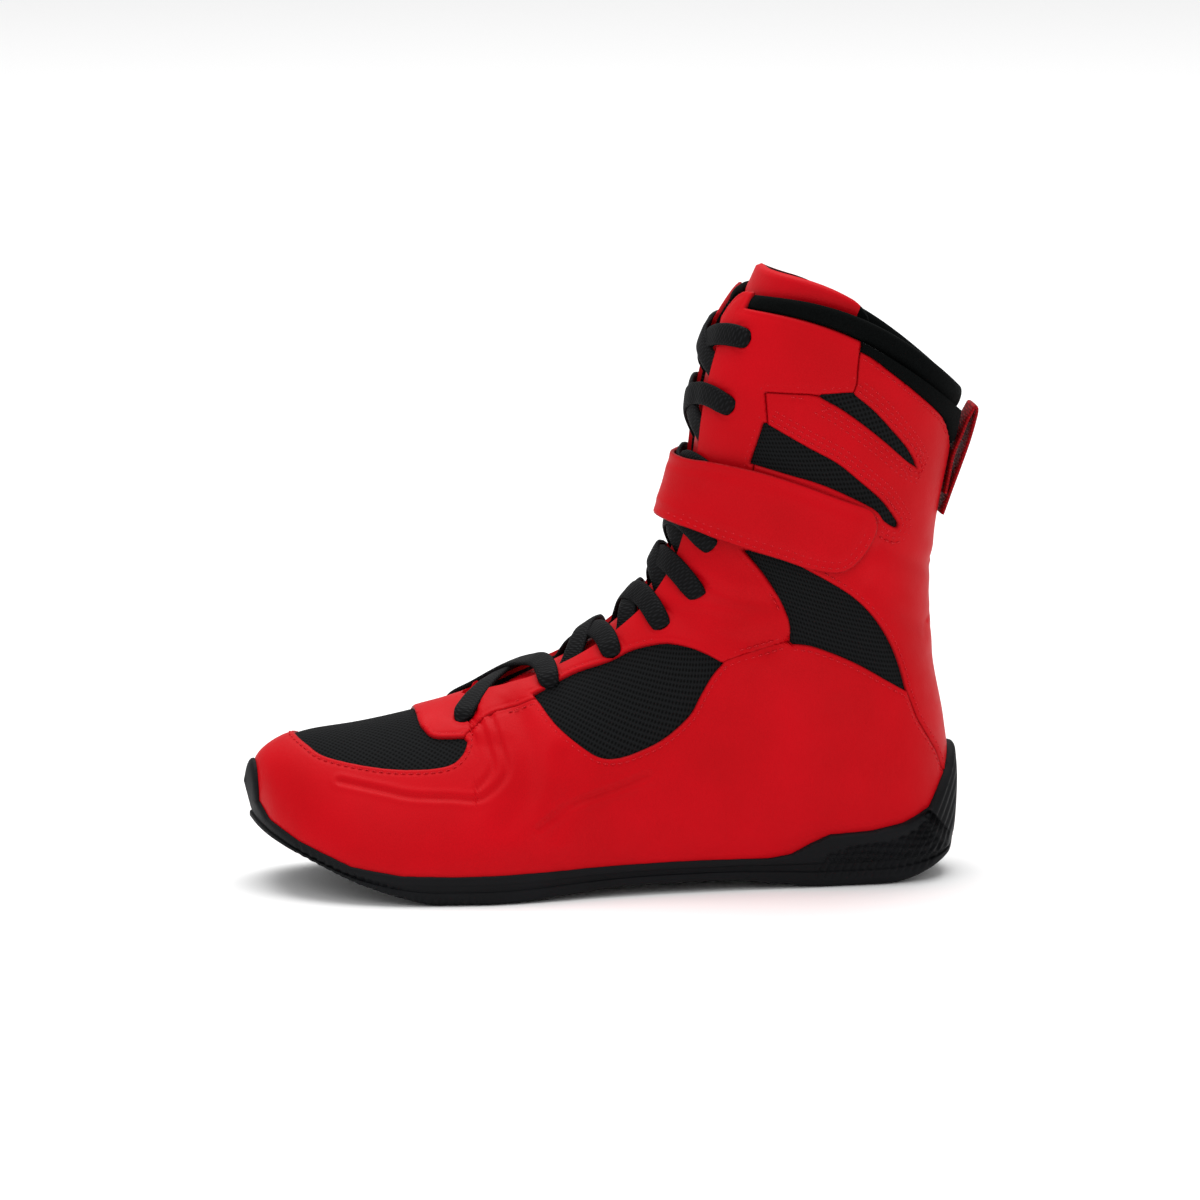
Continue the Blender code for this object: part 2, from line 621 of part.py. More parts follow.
# Red overlay: one layer over the upper, cut at the rubber, by its windows and along its joins
overlay = shell(
    "overlay", rows_between(0.0, UPPER_TOP_ROW), open_columns,
    lambda v, t: PIECE_CLEARANCE + OVERLAY_THICKNESS, lambda v, t: PIECE_CLEARANCE, "red", CUTTERS,
)
RUBBER_LINE = [(x, z + 1.6 * PIECE_CLEARANCE) for x, z in RUBBER_TOP]
boolean(overlay, side_prism("below_rubber", [(160.0, -20.0), (-160.0, -20.0)] + RUBBER_LINE))
for name, outline in (
    ("vamp", VAMP_WINDOW), ("side", SIDE_WINDOW), ("ankle", ANKLE_WINDOW), ("middle", MIDDLE_WINDOW),
    ("top", TOP_WINDOW), ("panel", COLLAR_PANEL),
):
    boolean(overlay, side_prism(name + "_window", list(outline)))
for name, path in JOINS.items():
    boolean(overlay, side_prism(name, ribbon_outline(path, PIECE_CLEARANCE)))
take_body(overlay, "foot_overlay", (-20.0, -45.0, 30.0), "red")
take_body(overlay, "eyestay", (5.0, -20.0, 100.0), "red")
take_body(overlay, "shaft_overlay", (134.0, 0.0, 120.0), "red")

# Collar: a padded roll on the upper's top edge, and a padded panel below it round the back
COLLAR_OUT = 1.4
COLLAR_THICKNESS = 5.0
collar = shell(
    "collar", [22.69, 22.85, 23.0], open_columns,
    lambda v, t: COLLAR_OUT, lambda v, t: COLLAR_OUT - COLLAR_THICKNESS, "lining",
)
PANEL_THICKNESS = 1.9
panel_gap = 1.2 * PIECE_CLEARANCE
panel = shell(
    "collar_panel", rows_between(20.2, UPPER_TOP_ROW - 0.01), open_columns,
    lambda v, t: PIECE_CLEARANCE + PANEL_THICKNESS, lambda v, t: PIECE_CLEARANCE, "lining",
)
PANEL_INSIDE = (
    (98.2 + panel_gap, 246.0), (98.2 + panel_gap, 219.6), (104.2, 216.3), (120.2, 203.3),
    (133.3, 191.2), (137.7, 182.7), (139.1, 176.5 + panel_gap), (165.0, 176.5 + panel_gap),
    (165.0, 246.0),
)
boolean(panel, side_prism("panel_inside", list(PANEL_INSIDE)), "INTERSECT")

# Laces: flat strips that cross between the punched holes, joined where they meet
HOLE_ROWS = (6.9, 8.2, 9.5, 10.7, 12.0, 14.2, 16.7, 19.2, 21.4)
HOLE_REACH = 20.5
LACE_WIDTH = 7.5
LACE_THICKNESS = 1.4
LACE_SEAT = 5.2 * PIECE_CLEARANCE + OVERLAY_THICKNESS + LACE_THICKNESS / 2
LACE_PATH = (1.0, 0.58, 0.0, -0.58, -1.0)


def share_at(v, reach):
    """The share t at which the half-width is reach, on the way to the top or front."""
    row = station(v)
    lo, hi = 0.5, 1.0
    for _ in range(40):
        mid = (lo + hi) / 2
        lo, hi = (mid, hi) if half_width(row, height_share(row, mid)) > reach else (lo, mid)
    return lo


def across(v, reach, offset):
    """Point above the last at row v, reach millimetres to the inner side of its middle line."""
    side = 1 if reach > 0 else -1
    return skin(v, share_at(v, abs(reach)), side, offset)


def lace_strip(name, v0, v1, side):
    """A flat strip from the hole at row v0 on one side to the hole at row v1 on the other."""
    reaches = [side * HOLE_REACH * share for share in LACE_PATH]
    rows = [v0 + (v1 - v0) * (1 - share) / 2 for share in LACE_PATH]
    middle = [across(v, reach, LACE_SEAT) for v, reach in zip(rows, reaches)]
    last = len(middle) - 1
    half_wide = LACE_WIDTH / 2 - (0.07 if side > 0 else 0.0)
    half_thick = LACE_THICKNESS / 2 - (0.04 if side > 0 else 0.0)
    points = []
    for k, point in enumerate(middle):
        ahead = (middle[min(k + 1, last)] - middle[max(k - 1, 0)]).normalized()
        up = (across(rows[k], reaches[k], LACE_SEAT + 1.0) - point).normalized()
        wide = ahead.cross(up).normalized() * half_wide
        thick = up * half_thick
        end = ahead * half_wide * (-0.8 if k == 0 else 1.0 if k == last else 0.0)
        points += [point + end + corner for corner in (wide + thick, wide - thick, -wide - thick, -wide + thick)]
    faces = [(0, 1, 2, 3), tuple(range(len(points) - 1, len(points) - 5, -1))]
    for k in range(last):
        for c in range(4):
            d = (c + 1) % 4
            faces.append((4 * k + c, 4 * k + d, 4 * k + 4 + d, 4 * k + 4 + c))
    return mesh_object(name, points, faces, "webbing", CUTTERS)


laces = None
for low_row, high_row in zip(HOLE_ROWS, HOLE_ROWS[1:]):
    for side in (-1, 1):
        strip = lace_strip("laces", low_row, high_row, side)
        if laces is None:
            laces = strip
        else:
            boolean(laces, strip, "UNION")
CUTTERS.objects.unlink(laces)
BOOT.objects.link(laces)
laces.name = "laces"
laces.hide_render = False
laces.display_type = "TEXTURED"

# Ankle strap: a webbing-backed band over the laces, closed on the outer side
STRAP_THICKNESS = 1.9
STRAP_SIDE = PIECE_CLEARANCE + OVERLAY_THICKNESS + PIECE_CLEARANCE + STRAP_THICKNESS
STRAP_SPREAD = ((12.0, 6.2), (15.0, 5.2), (17.5, 3.3), (19.0, 3.0))
STRAP_OUTLINE = (
    (8.0, 151.0), (21.3, 150.0), (27.6, 147.4), (38.2, 145.0), (50.8, 141.5), (67.2, 136.0), (77.2, 132.0),
    (88.0, 129.8), (95.0, 132.0), (101.0, 139.0), (104.5, 147.0), (103.5, 153.0), (100.5, 156.0),
    (90.0, 160.0), (77.0, 165.2), (66.0, 169.2), (55.0, 172.3), (44.0, 173.8), (34.0, 173.4), (8.0, 174.6),
)


def strap_reach(v, t):
    """The strap's outer face: on the overlay at the sides, lifted over the laces in front."""
    lift = min(max((t - 0.52) / 0.22, 0.0), 1.0)
    return STRAP_SIDE + table_value(STRAP_SPREAD, v) * lift * lift * (3 - 2 * lift)


strap = shell(
    "ankle_strap", rows_between(10.3, 22.1), closed_columns,
    strap_reach, lambda v, t: strap_reach(v, t) - STRAP_THICKNESS, "red",
)
boolean(strap, side_prism("strap_outline", list(STRAP_OUTLINE)), "INTERSECT")

# Pull loop: a folded tape behind the collar
LOOP_HALF_WIDTH = 8.0
loop = side_prism(
    "pull_loop",
    [(145.3, 181.0), (149.6, 191.8), (150.9, 192.6), (151.8, 191.4), (150.6, 186.0), (145.6, 169.0), (138.2, 148.2),
     (136.45, 148.6), (143.8, 169.2), (148.9, 186.2), (149.0, 187.6), (146.5, 180.4)],
    -LOOP_HALF_WIDTH, LOOP_HALF_WIDTH,
)
CUTTERS.objects.unlink(loop)
BOOT.objects.link(loop)
loop.hide_render = False
loop.display_type = "TEXTURED"
loop.data.materials.clear()
loop.data.materials.append(MATERIALS["red"])

for obj in BOOT.objects:
    if obj is not laces:
        clean(obj)

# The origin is under the middle of the whole part, on the floor
corners = [v.co for obj in BOOT.objects for v in obj.data.vertices]
middle_x = (min(c.x for c in corners) + max(c.x for c in corners)) / 2
middle_y = (min(c.y for c in corners) + max(c.y for c in corners)) / 2
for obj in BOOT.objects:
    for vertex in obj.data.vertices:
        vertex.co -= Vector((middle_x, middle_y, 0.0))
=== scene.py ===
import bpy
import numpy as np
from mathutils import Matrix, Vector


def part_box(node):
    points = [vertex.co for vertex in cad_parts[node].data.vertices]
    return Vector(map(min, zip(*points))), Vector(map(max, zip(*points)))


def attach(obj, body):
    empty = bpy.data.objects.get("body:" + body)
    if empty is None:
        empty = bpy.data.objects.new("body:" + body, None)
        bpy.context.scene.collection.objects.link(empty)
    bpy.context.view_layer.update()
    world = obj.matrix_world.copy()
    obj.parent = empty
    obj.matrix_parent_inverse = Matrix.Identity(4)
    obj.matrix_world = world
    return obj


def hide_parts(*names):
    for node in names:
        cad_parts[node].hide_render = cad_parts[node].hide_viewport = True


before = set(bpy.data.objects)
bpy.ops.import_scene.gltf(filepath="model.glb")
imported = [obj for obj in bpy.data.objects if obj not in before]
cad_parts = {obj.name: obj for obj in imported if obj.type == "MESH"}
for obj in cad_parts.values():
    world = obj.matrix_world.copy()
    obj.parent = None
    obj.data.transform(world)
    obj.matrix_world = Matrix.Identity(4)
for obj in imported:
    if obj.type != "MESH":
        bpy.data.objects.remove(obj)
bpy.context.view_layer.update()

MM = 0.001
LOOP_BACK_X = 151.8
LOOP_HALF_WIDTH = 8.0
loop_high = np.array(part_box("pull_loop")[1]) / MM
ORIGIN_SHIFT = np.array([loop_high[0] - LOOP_BACK_X, loop_high[1] - LOOP_HALF_WIDTH, 0.0])

# Wall and layer sizes, as offsets from the last's surface
UPPER_WALL = 1.8
OVERLAY_TOP = 1.3
EYESTAY_TOP = 1.65
EDGE_RADIUS = 1.3
STRAP_THICKNESS = 1.9
STRAP_SIDE = 3.9
TONGUE_THICKNESS = 4.0
THROAT_HALF_GAP = 12.0
TOP_DRAW = 7.0
RIM_SIDE = 3.0
RIM_TOE = 3.6
RIM_HEEL = 5.0
UNDERCUT = 3.4

# Spacing of each piece's grid
UPPER_STEP = 2.6
OVERLAY_STEP = 1.45
PANEL_STEP = 1.6
STRAP_STEP = 1.4
TONGUE_STEP = 1.8
SOLE_STEP = 0.85
FOOTBED_STEP = 2.0
# A distance beyond the reach of every rounded edge, and the distance at which two points are one
FAR = 50.0
WELD = 0.002

# ---- The last ----

# One row per station from the toe tip to above the collar; see last() for what each column does
STATION_COLUMNS = (
    "bx", "bz", "tx", "tz", "foot", "low", "high", "bulge", "rise", "crown", "shift", "lean", "bow",
)
STATIONS = (
    (-140.5, 31.0, -143.3, 42.0, 0.0, 0.0, 0.0, 0.0, 0.3, 0.90, 10.0, 10.0, 0.0),
    (-139.4, 29.4, -142.4, 47.0, 10.0, 10.5, 9.0, 0.0, 0.3, 0.90, 9.7, 9.6, 0.0),
    (-136.2, 26.4, -139.0, 53.0, 19.5, 20.5, 18.0, 0.0, 0.3, 0.90, 8.6, 8.6, 0.0),
    (-130.4, 22.6, -131.5, 58.6, 27.5, 29.0, 27.0, 0.0, 0.3, 0.92, 7.2, 7.6, 0.0),
    (-120.0, 17.4, -119.5, 62.8, 36.0, 37.5, 35.0, 0.0, 0.3, 0.95, 5.2, 6.2, 0.0),
    (-103.0, 11.2, -101.0, 65.6, 43.5, 45.5, 41.0, 0.0, 0.3, 0.95, 2.6, 4.6, 0.0),
    (-83.0, 8.8, -81.0, 69.8, 47.0, 49.0, 42.0, 0.0, 0.3, 0.92, -0.2, 3.0, 0.0),
    (-60.0, 8.6, -58.0, 75.8, 46.5, 48.5, 40.0, 1.0, 0.3, 0.85, -2.8, 2.0, 0.0),
    (-35.0, 9.0, -34.0, 86.4, 42.0, 44.5, 36.0, 1.5, 0.3, 0.72, -4.6, 1.2, 0.0),
    (-8.0, 9.8, -12.0, 97.2, 35.0, 38.5, 30.5, 1.5, 0.3, 0.58, -5.0, 0.6, 0.0),
    (22.0, 10.2, 4.5, 109.0, 31.0, 35.5, 27.5, 1.0, 0.3, 0.46, -4.2, 0.2, 0.0),
    (53.0, 10.2, 15.0, 119.0, 30.0, 34.5, 27.5, 0.5, 0.3, 0.40, -2.4, 0.0, 0.0),
    (83.0, 10.2, 21.0, 128.0, 29.0, 34.0, 28.5, 0.5, 0.3, 0.38, -1.2, 0.0, 0.0),
    (108.0, 10.4, 25.0, 136.0, 27.6, 33.5, 29.5, 1.0, 0.28, 0.38, -0.5, 0.0, 0.0),
    (125.0, 11.2, 27.5, 143.5, 22.5, 33.0, 30.5, 1.5, 0.26, 0.38, -0.2, 0.0, 0.0),
    (134.5, 12.6, 29.6, 151.0, 13.5, 32.5, 31.5, 2.0, 0.25, 0.39, 0.0, 0.0, 0.0),
    (138.6, 16.0, 31.2, 158.0, 0.0, 32.0, 32.0, 2.5, 0.25, 0.40, 0.0, 0.0, 0.0),
    (140.2, 38.0, 33.0, 168.5, 0.0, 31.5, 33.0, 3.0, 0.28, 0.41, 0.0, 0.0, 0.0),
    (137.6, 63.0, 34.6, 180.0, 0.0, 31.0, 34.0, 3.0, 0.32, 0.42, 0.0, 0.0, 1.0),
    (132.8, 90.0, 36.2, 192.0, 0.0, 31.5, 34.5, 2.5, 0.36, 0.43, 0.0, 0.0, 2.4),
    (131.2, 116.0, 38.4, 203.5, 0.0, 32.5, 35.0, 2.0, 0.40, 0.44, 0.0, 0.0, 4.8),
    (133.6, 142.0, 41.2, 214.5, 0.0, 34.0, 35.5, 1.5, 0.42, 0.45, 0.0, 0.0, 7.5),
    (138.8, 170.0, 45.4, 226.0, 0.0, 36.0, 36.5, 0.8, 0.44, 0.46, 0.0, 0.0, 10.5),
    (144.6, 198.5, 53.5, 239.5, 0.0, 38.0, 37.5, 0.0, 0.46, 0.47, 0.0, 0.0, 12.5),
    (149.0, 213.0, 60.0, 253.0, 0.0, 39.0, 38.0, 0.0, 0.46, 0.47, 0.0, 0.0, 12.5),
)
STATION_TABLE = np.array(STATIONS)
THROAT_ROW = 7.0
HEEL_ROW = 16.0
LAST_ROW = 24.0
UPPER_TOP_ROW = 22.65
LEAST_DROP = -0.12
SPRUNG_ROWS = 2.5
RUBBER_LAST_ROW = 19.5

# Side views, x and z: the sole's ground line and the top edge of the rubber
UNDERSIDE = (
    (-150.0, 38.0), (-143.0, 28.5), (-138.0, 24.0), (-122.0, 16.0), (-103.0, 7.4), (-88.0, 2.8),
    (-75.0, 0.0), (-48.0, 0.0), (-22.0, 1.8), (6.0, 3.8), (38.0, 4.0), (67.0, 2.0), (84.0, 0.0),
    (112.0, 0.0), (121.0, 1.4), (129.0, 4.2), (136.0, 8.4), (141.0, 13.5), (150.0, 26.0),
)
RUBBER_TOP = (
    (-160.0, 55.5), (-141.0, 55.5), (-140.2, 36.0), (-137.0, 30.0), (-127.0, 23.6), (-108.0, 15.4),
    (-89.0, 12.4), (-69.0, 11.9), (-49.0, 12.1), (-29.0, 12.5), (0.0, 13.2), (34.0, 13.4),
    (62.0, 13.0), (71.0, 14.4), (79.0, 18.6), (87.0, 22.0), (104.0, 23.0), (117.0, 25.6),
    (128.0, 31.0), (136.0, 45.0), (140.5, 57.0), (143.0, 62.5), (160.0, 62.5),
)


def through(x, y, q):
    """Monotone cubic through (x, y) rows at the positions q: each slope is its chords' harmonic mean."""
    x = np.asarray(x, float)
    y = np.asarray(y, float).reshape(len(x), -1)
    chord = np.diff(y, axis=0) / np.diff(x)[:, None]
    left, right = chord[:-1], chord[1:]
    total = np.where(left + right == 0, 1.0, left + right)
    inner = np.where(left * right > 0, 2 * left * right / total, 0.0)
    slope = np.vstack([chord[:1], inner, chord[-1:]])
    q = np.clip(q, x[0], x[-1])
    i = np.clip(np.searchsorted(x, q, side="right") - 1, 0, len(x) - 2)
    span = (x[i + 1] - x[i])[..., None]
    s = ((q - x[i]) / (x[i + 1] - x[i]))[..., None]
    return (
        (2 * s ** 3 - 3 * s ** 2 + 1) * y[i]
        + (s ** 3 - 2 * s ** 2 + s) * span * slope[i]
        + (3 * s ** 2 - 2 * s ** 3) * y[i + 1]
        + (s ** 3 - s ** 2) * span * slope[i + 1]
    )


def curve(rows, q):
    """The same cubic for a table of (position, value) pairs."""
    rows = np.array(rows)
    return through(rows[:, 0], rows[:, 1], np.asarray(q, float))[..., 0]


def stations(v):
    """The station table at fractional rows v, as named columns."""
    values = through(np.arange(len(STATION_TABLE)), STATION_TABLE, np.asarray(v, float))
    return {name: values[..., c] for c, name in enumerate(STATION_COLUMNS)}


def rounding(q):
    """Quarter ellipse: 0 at q = 0, 1 from q = 1 on."""
    return np.sqrt(np.clip(1 - (1 - np.clip(q, 0, 1)) ** 2, 0, 1))


def smooth_step(q):
    """0 below q = 0, 1 above q = 1, and 3q^2 - 2q^3 between."""
    q = np.clip(q, 0, 1)
    return q * q * (3 - 2 * q)


def open_share(row):
    """How much of the low width is left open at the bottom: 0 where the section closes."""
    return np.where(row["low"] > 0, row["foot"] / np.where(row["low"] > 0, row["low"], 1.0), 0.0)


def half_width(row, a):
    """Body width at height share a, times a quarter ellipse at the bottom and one at the top."""
    body = row["low"] * (1 - a) + row["high"] * a + row["bulge"] * 4 * a * (1 - a)
    bottom = open_share(row) + (1 - open_share(row)) * rounding(a / row["rise"])
    return body * bottom * rounding((1 - a) / row["crown"])


def height_share(row, t):
    """Height share for an even walk round the section: a sine where it is open, a cosine where closed."""
    share = open_share(row)
    return share * np.sin(np.pi * t / 2) + (1 - share) * (1 - np.cos(np.pi * t)) / 2


def last(v, t, side):
    """Point at row v and share t: the chord from bottom to top point, bowed, and out by the half-width."""
    v, t, side = np.broadcast_arrays(np.asarray(v, float), np.asarray(t, float), np.asarray(side, float))
    row = stations(v)
    a = height_share(row, t)
    return np.stack([
        row["bx"] + (row["tx"] - row["bx"]) * a,
        row["shift"] * (1 - a) + row["lean"] * a + side * half_width(row, a),
        row["bz"] + (row["tz"] - row["bz"]) * a + row["bow"] * 4 * a * (1 - a),
    ], axis=-1)


def unit(vectors):
    """Vectors divided by their own length."""
    return vectors / np.maximum(np.linalg.norm(vectors, axis=-1, keepdims=True), 1e-9)


def feather_normal(v, side):
    """Outward direction in plan at the bottom edge: its run turned a quarter."""
    v, side = np.broadcast_arrays(np.asarray(v, float), np.asarray(side, float))
    dv = 0.05
    run = last(np.minimum(v + dv, HEEL_ROW), 0.0, side) - last(np.maximum(v - dv, 0.0), 0.0, side)
    turned = unit(np.stack([-run[..., 1] * side, run[..., 0] * side, 0 * side], axis=-1))
    tip = np.where(v <= dv, -1.0, 1.0)[..., None] * np.array([1.0, 0.0, 0.0])
    return np.where(((v <= dv) | (v >= HEEL_ROW - dv))[..., None], tip, turned)


def outward(v, t, side):
    """Unit normal: the run along the rows crossed with the run round the section, square on the seams."""
    v, t, side = np.broadcast_arrays(np.asarray(v, float), np.asarray(t, float), np.asarray(side, float))
    dv, dt = 0.02, 0.004
    v = np.clip(v, 0.01, LAST_ROW)
    hand = np.where(side == 0, 1.0, side)
    along = last(np.minimum(v + dv, LAST_ROW), t, hand) - last(np.maximum(v - dv, 0.0), t, hand)
    around = last(v, np.minimum(t + dt, 1.0), hand) - last(v, np.maximum(t - dt, 0.0), hand)
    zero = 0 * v
    over_crest = np.stack([zero, -hand, zero], axis=-1)
    over_back = np.stack([zero, hand, zero], axis=-1)
    back = (t < dt) & (v >= HEEL_ROW - 0.0001)
    around = np.where((t > 1 - dt)[..., None], over_crest, np.where(back[..., None], over_back, around))
    normal = np.cross(along, around) * -hand[..., None]
    seam = (v <= 0.01) | (t > 1 - dt) | back
    normal[..., 1] = np.where(seam, 0.0, normal[..., 1])
    normal = unit(normal)
    flat = unit(np.stack([normal[..., 0], normal[..., 1], zero], axis=-1))
    flat = np.where((t < dt)[..., None], feather_normal(np.minimum(v, HEEL_ROW), hand), flat)
    held = flat * np.sqrt(1 - LEAST_DROP ** 2) + np.array([0.0, 0.0, LEAST_DROP])
    droops = (v < HEEL_ROW + 0.5) & (normal[..., 2] < LEAST_DROP)
    return np.where(droops[..., None], held, normal)


def skin(v, t, side, offset):
    """The last's surface moved out along its normal."""
    return last(v, t, side) + outward(v, t, side) * np.asarray(offset, float)[..., None]


def share_at(v, reach):
    """Share t where the half-width is reach on its way to the crest, by halving the range."""
    v, reach = np.broadcast_arrays(np.asarray(v, float), np.asarray(reach, float))
    row = stations(v)
    lo, hi = np.full(v.shape, 0.5), np.ones(v.shape)
    for _ in range(40):
        mid = (lo + hi) / 2
        wide = half_width(row, height_share(row, mid)) > reach
        lo, hi = np.where(wide, mid, lo), np.where(wide, hi, mid)
    return lo


def throat_share(v):
    """Share t of the facing's edge: a slot rounded at the throat row, drawn together above the last holes."""
    gap = THROAT_HALF_GAP * rounding((v - THROAT_ROW) / 1.2) - TOP_DRAW * smooth_step((v - 21.5) / 1.0)
    return np.where(v > THROAT_ROW, share_at(v, np.maximum(gap, 1e-6)), 1.0)


def to_crest(v):
    """Share 1: the section runs on to the middle line."""
    return np.ones(np.shape(v))


# Length along the middle of each half, and girth of each half, for fabric coordinates
TABLE_ROWS = np.linspace(0.0, LAST_ROW, 481)
table_points = last(TABLE_ROWS[:, None], np.linspace(0, 1, 61)[None, :], -1)
run_lengths = np.linalg.norm(np.diff(table_points, axis=0), axis=2)
TRAVEL = np.concatenate([[0.0], np.cumsum(run_lengths[:, 30])])
WIDEST_TRAVEL = np.concatenate([[0.0], np.cumsum(run_lengths.max(axis=1))])
GIRTH = np.linalg.norm(np.diff(table_points, axis=1), axis=2).sum(axis=1)


def even_rows(stops, step):
    """Rows through every stop, spaced so that the widest spacing between two is about step."""
    rows = [np.array([stops[0]])]
    for low, high in zip(stops, stops[1:]):
        start, end = np.interp([low, high], TABLE_ROWS, WIDEST_TRAVEL)
        count = max(1, int(np.ceil((end - start) / step)))
        part = np.interp(np.linspace(start, end, count + 1), WIDEST_TRAVEL, TABLE_ROWS)
        part[-1] = high
        rows.append(part[1:])
    return np.concatenate(rows)


def grid_triangles(index):
    """Two triangles for each cell of a grid of vertex numbers."""
    a, b, c, d = index[:-1, :-1], index[:-1, 1:], index[1:, :-1], index[1:, 1:]
    first = np.stack([a, b, c], axis=-1).reshape(-1, 3)
    return np.concatenate([first, np.stack([b, d, c], axis=-1).reshape(-1, 3)])


def sheet_triangles(sheet):
    """The same for a grid of points, rows by columns."""
    return grid_triangles(np.arange(sheet.shape[0] * sheet.shape[1]).reshape(sheet.shape[:2]))


def ring_index(rings, spokes):
    """Vertex numbers of a tube's rings, with the first spoke again at the end."""
    index = np.arange(rings * spokes).reshape(rings, spokes)
    return np.concatenate([index, index[:, :1]], axis=1)


def capped_tube(rings, spokes):
    """Triangles of a tube, closed by fans round two more points, the first end's and the last end's."""
    index = ring_index(rings, spokes)
    centre = np.full(spokes, rings * spokes)
    first = np.stack([index[0, :-1], index[0, 1:], centre], axis=1)
    final = np.stack([index[-1, 1:], index[-1, :-1], centre + 1], axis=1)
    return np.concatenate([grid_triangles(index)[:, ::-1], first, final])


def travelled(path):
    """Length along a path up to each of its points."""
    return np.concatenate([[0], np.cumsum(np.linalg.norm(np.diff(path, axis=0), axis=1))])


def compact(patch):
    """A patch without the vertices that no triangle uses, nor triangles of no area."""
    tri = patch["tri"]
    real = (tri[:, 0] != tri[:, 1]) & (tri[:, 1] != tri[:, 2]) & (tri[:, 0] != tri[:, 2])
    used, tri = np.unique(tri[real], return_inverse=True)
    kept = {name: values[used] for name, values in patch.items() if name != "tri"}
    kept["tri"] = tri.reshape(-1, 3)
    return kept


def welded(points, tri):
    """Points and triangles with the points that lie within WELD made one."""
    _, first, place = np.unique(
        np.round(points / WELD).astype(int), axis=0, return_index=True, return_inverse=True,
    )
    mesh = compact({"at": points[first], "tri": place.ravel()[tri]})
    return mesh["at"], mesh["tri"]


def skin_patch(stops, step, high=throat_share):
    """Both halves of the last as one grid of rows v and shares t up to high, joined on the middle line."""
    rows = even_rows(stops, step)
    columns = int(np.ceil(np.interp(rows, TABLE_ROWS, GIRTH).max() / step)) + 1
    t = high(rows)[:, None] * np.linspace(0, 1, columns)
    v = np.repeat(rows[:, None], columns, axis=1)
    count = v.size
    row = stations(v)
    seam = half_width(row, height_share(row, t)) < 1e-6
    near = np.arange(count).reshape(v.shape)
    far = np.where(seam, near, near + count)
    side = np.concatenate([np.where(seam, 0, -1).ravel(), np.ones(count)])
    return compact({
        "v": np.tile(v.ravel(), 2), "t": np.tile(t.ravel(), 2), "side": side,
        "tri": np.concatenate([grid_triangles(near)[:, ::-1], grid_triangles(far)]),
    })


# ---- Outlines in the side view ----

def rounded_outline(points, corners=(), closed=True, parts=6):
    """Catmull-Rom curve through the points; at a corner the tangent breaks."""
    p = np.array(points, float)
    n = len(p)
    k = np.arange(n if closed else n - 1)
    if closed:
        before, start, end, after = p[k - 1], p[k], p[(k + 1) % n], p[(k + 2) % n]
    else:
        before, start, end, after = p[np.maximum(k - 1, 0)], p[k], p[k + 1], p[np.minimum(k + 2, n - 1)]
    sharp = np.isin(np.arange(n), corners)
    before = np.where(sharp[k][:, None], start, before)
    after = np.where(sharp[(k + 1) % n][:, None], end, after)
    s = np.linspace(0, 1, parts, endpoint=False)[None, :, None]
    before, start, end, after = (q[:, None, :] for q in (before, start, end, after))
    leave, arrive = (end - before) / 2, (after - start) / 2
    line = (
        (2 * s ** 3 - 3 * s ** 2 + 1) * start + (s ** 3 - 2 * s ** 2 + s) * leave
        + (3 * s ** 2 - 2 * s ** 3) * end + (s ** 3 - s ** 2) * arrive
    ).reshape(-1, 2)
    return line if closed else np.vstack([line, p[-1:]])


def nearest(line, x, z, closed):
    """Distance from each point to the line's nearest segment, and the direction away from it."""
    start = line if closed else line[:-1]
    end = np.roll(line, -1, axis=0) if closed else line[1:]
    run = end - start
    length2 = np.maximum((run ** 2).sum(axis=1), 1e-9)
    points = np.stack([x, z], axis=1)
    distance = np.empty(len(points))
    away = np.empty((len(points), 2))
    for first in range(0, len(points), 8000):
        block = points[first:first + 8000]
        gap = block[:, None, :] - start[None]
        s = np.clip((gap * run).sum(axis=2) / length2, 0, 1)
        gap -= s[..., None] * run
        squares = (gap ** 2).sum(axis=2)
        best = squares.argmin(axis=1)
        pick = np.arange(len(block))
        distance[first:first + 8000] = np.sqrt(squares[pick, best])
        away[first:first + 8000] = gap[pick, best]
    return distance, away / np.maximum(distance, 1e-6)[:, None]


def is_inside(outline, x, z):
    """Even-odd rule: an odd number of edges crosses the ray to the right."""
    start, end = outline, np.roll(outline, -1, axis=0)
    inside = np.zeros(len(x), bool)
    for (x0, z0), (x1, z1) in zip(start, end):
        spans = (z0 > z) != (z1 > z)
        cross = x0 + (z - z0) * (x1 - x0) / (z1 - z0 if z1 != z0 else 1.0)
        inside ^= spans & (x < cross)
    return inside


def on_surface(distance, away, normal):
    """A side-view distance as one along the surface, which leans away from the view by its normal."""
    lean = (away[:, 0] * normal[:, 0] + away[:, 1] * normal[:, 2]) ** 2
    return distance / np.sqrt(np.clip(1 - lean, 0.12, 1))


def settle(patch):
    """Adds each vertex's place and normal to a patch."""
    patch["at"] = last(patch["v"], patch["t"], patch["side"])
    patch["normal"] = outward(patch["v"], patch["t"], patch["side"])
    return patch


def within(patch, outline):
    """Distance along the surface to a closed side-view outline, positive inside it."""
    x, z = patch["at"][:, 0], patch["at"][:, 2]
    distance, away = nearest(outline, x, z, True)
    return on_surface(distance, away, patch["normal"]) * np.where(is_inside(outline, x, z), 1, -1)


def beside(patch, line):
    """Distance along the surface to an open side-view line."""
    distance, away = nearest(line, patch["at"][:, 0], patch["at"][:, 2], False)
    return on_surface(distance, away, patch["normal"])


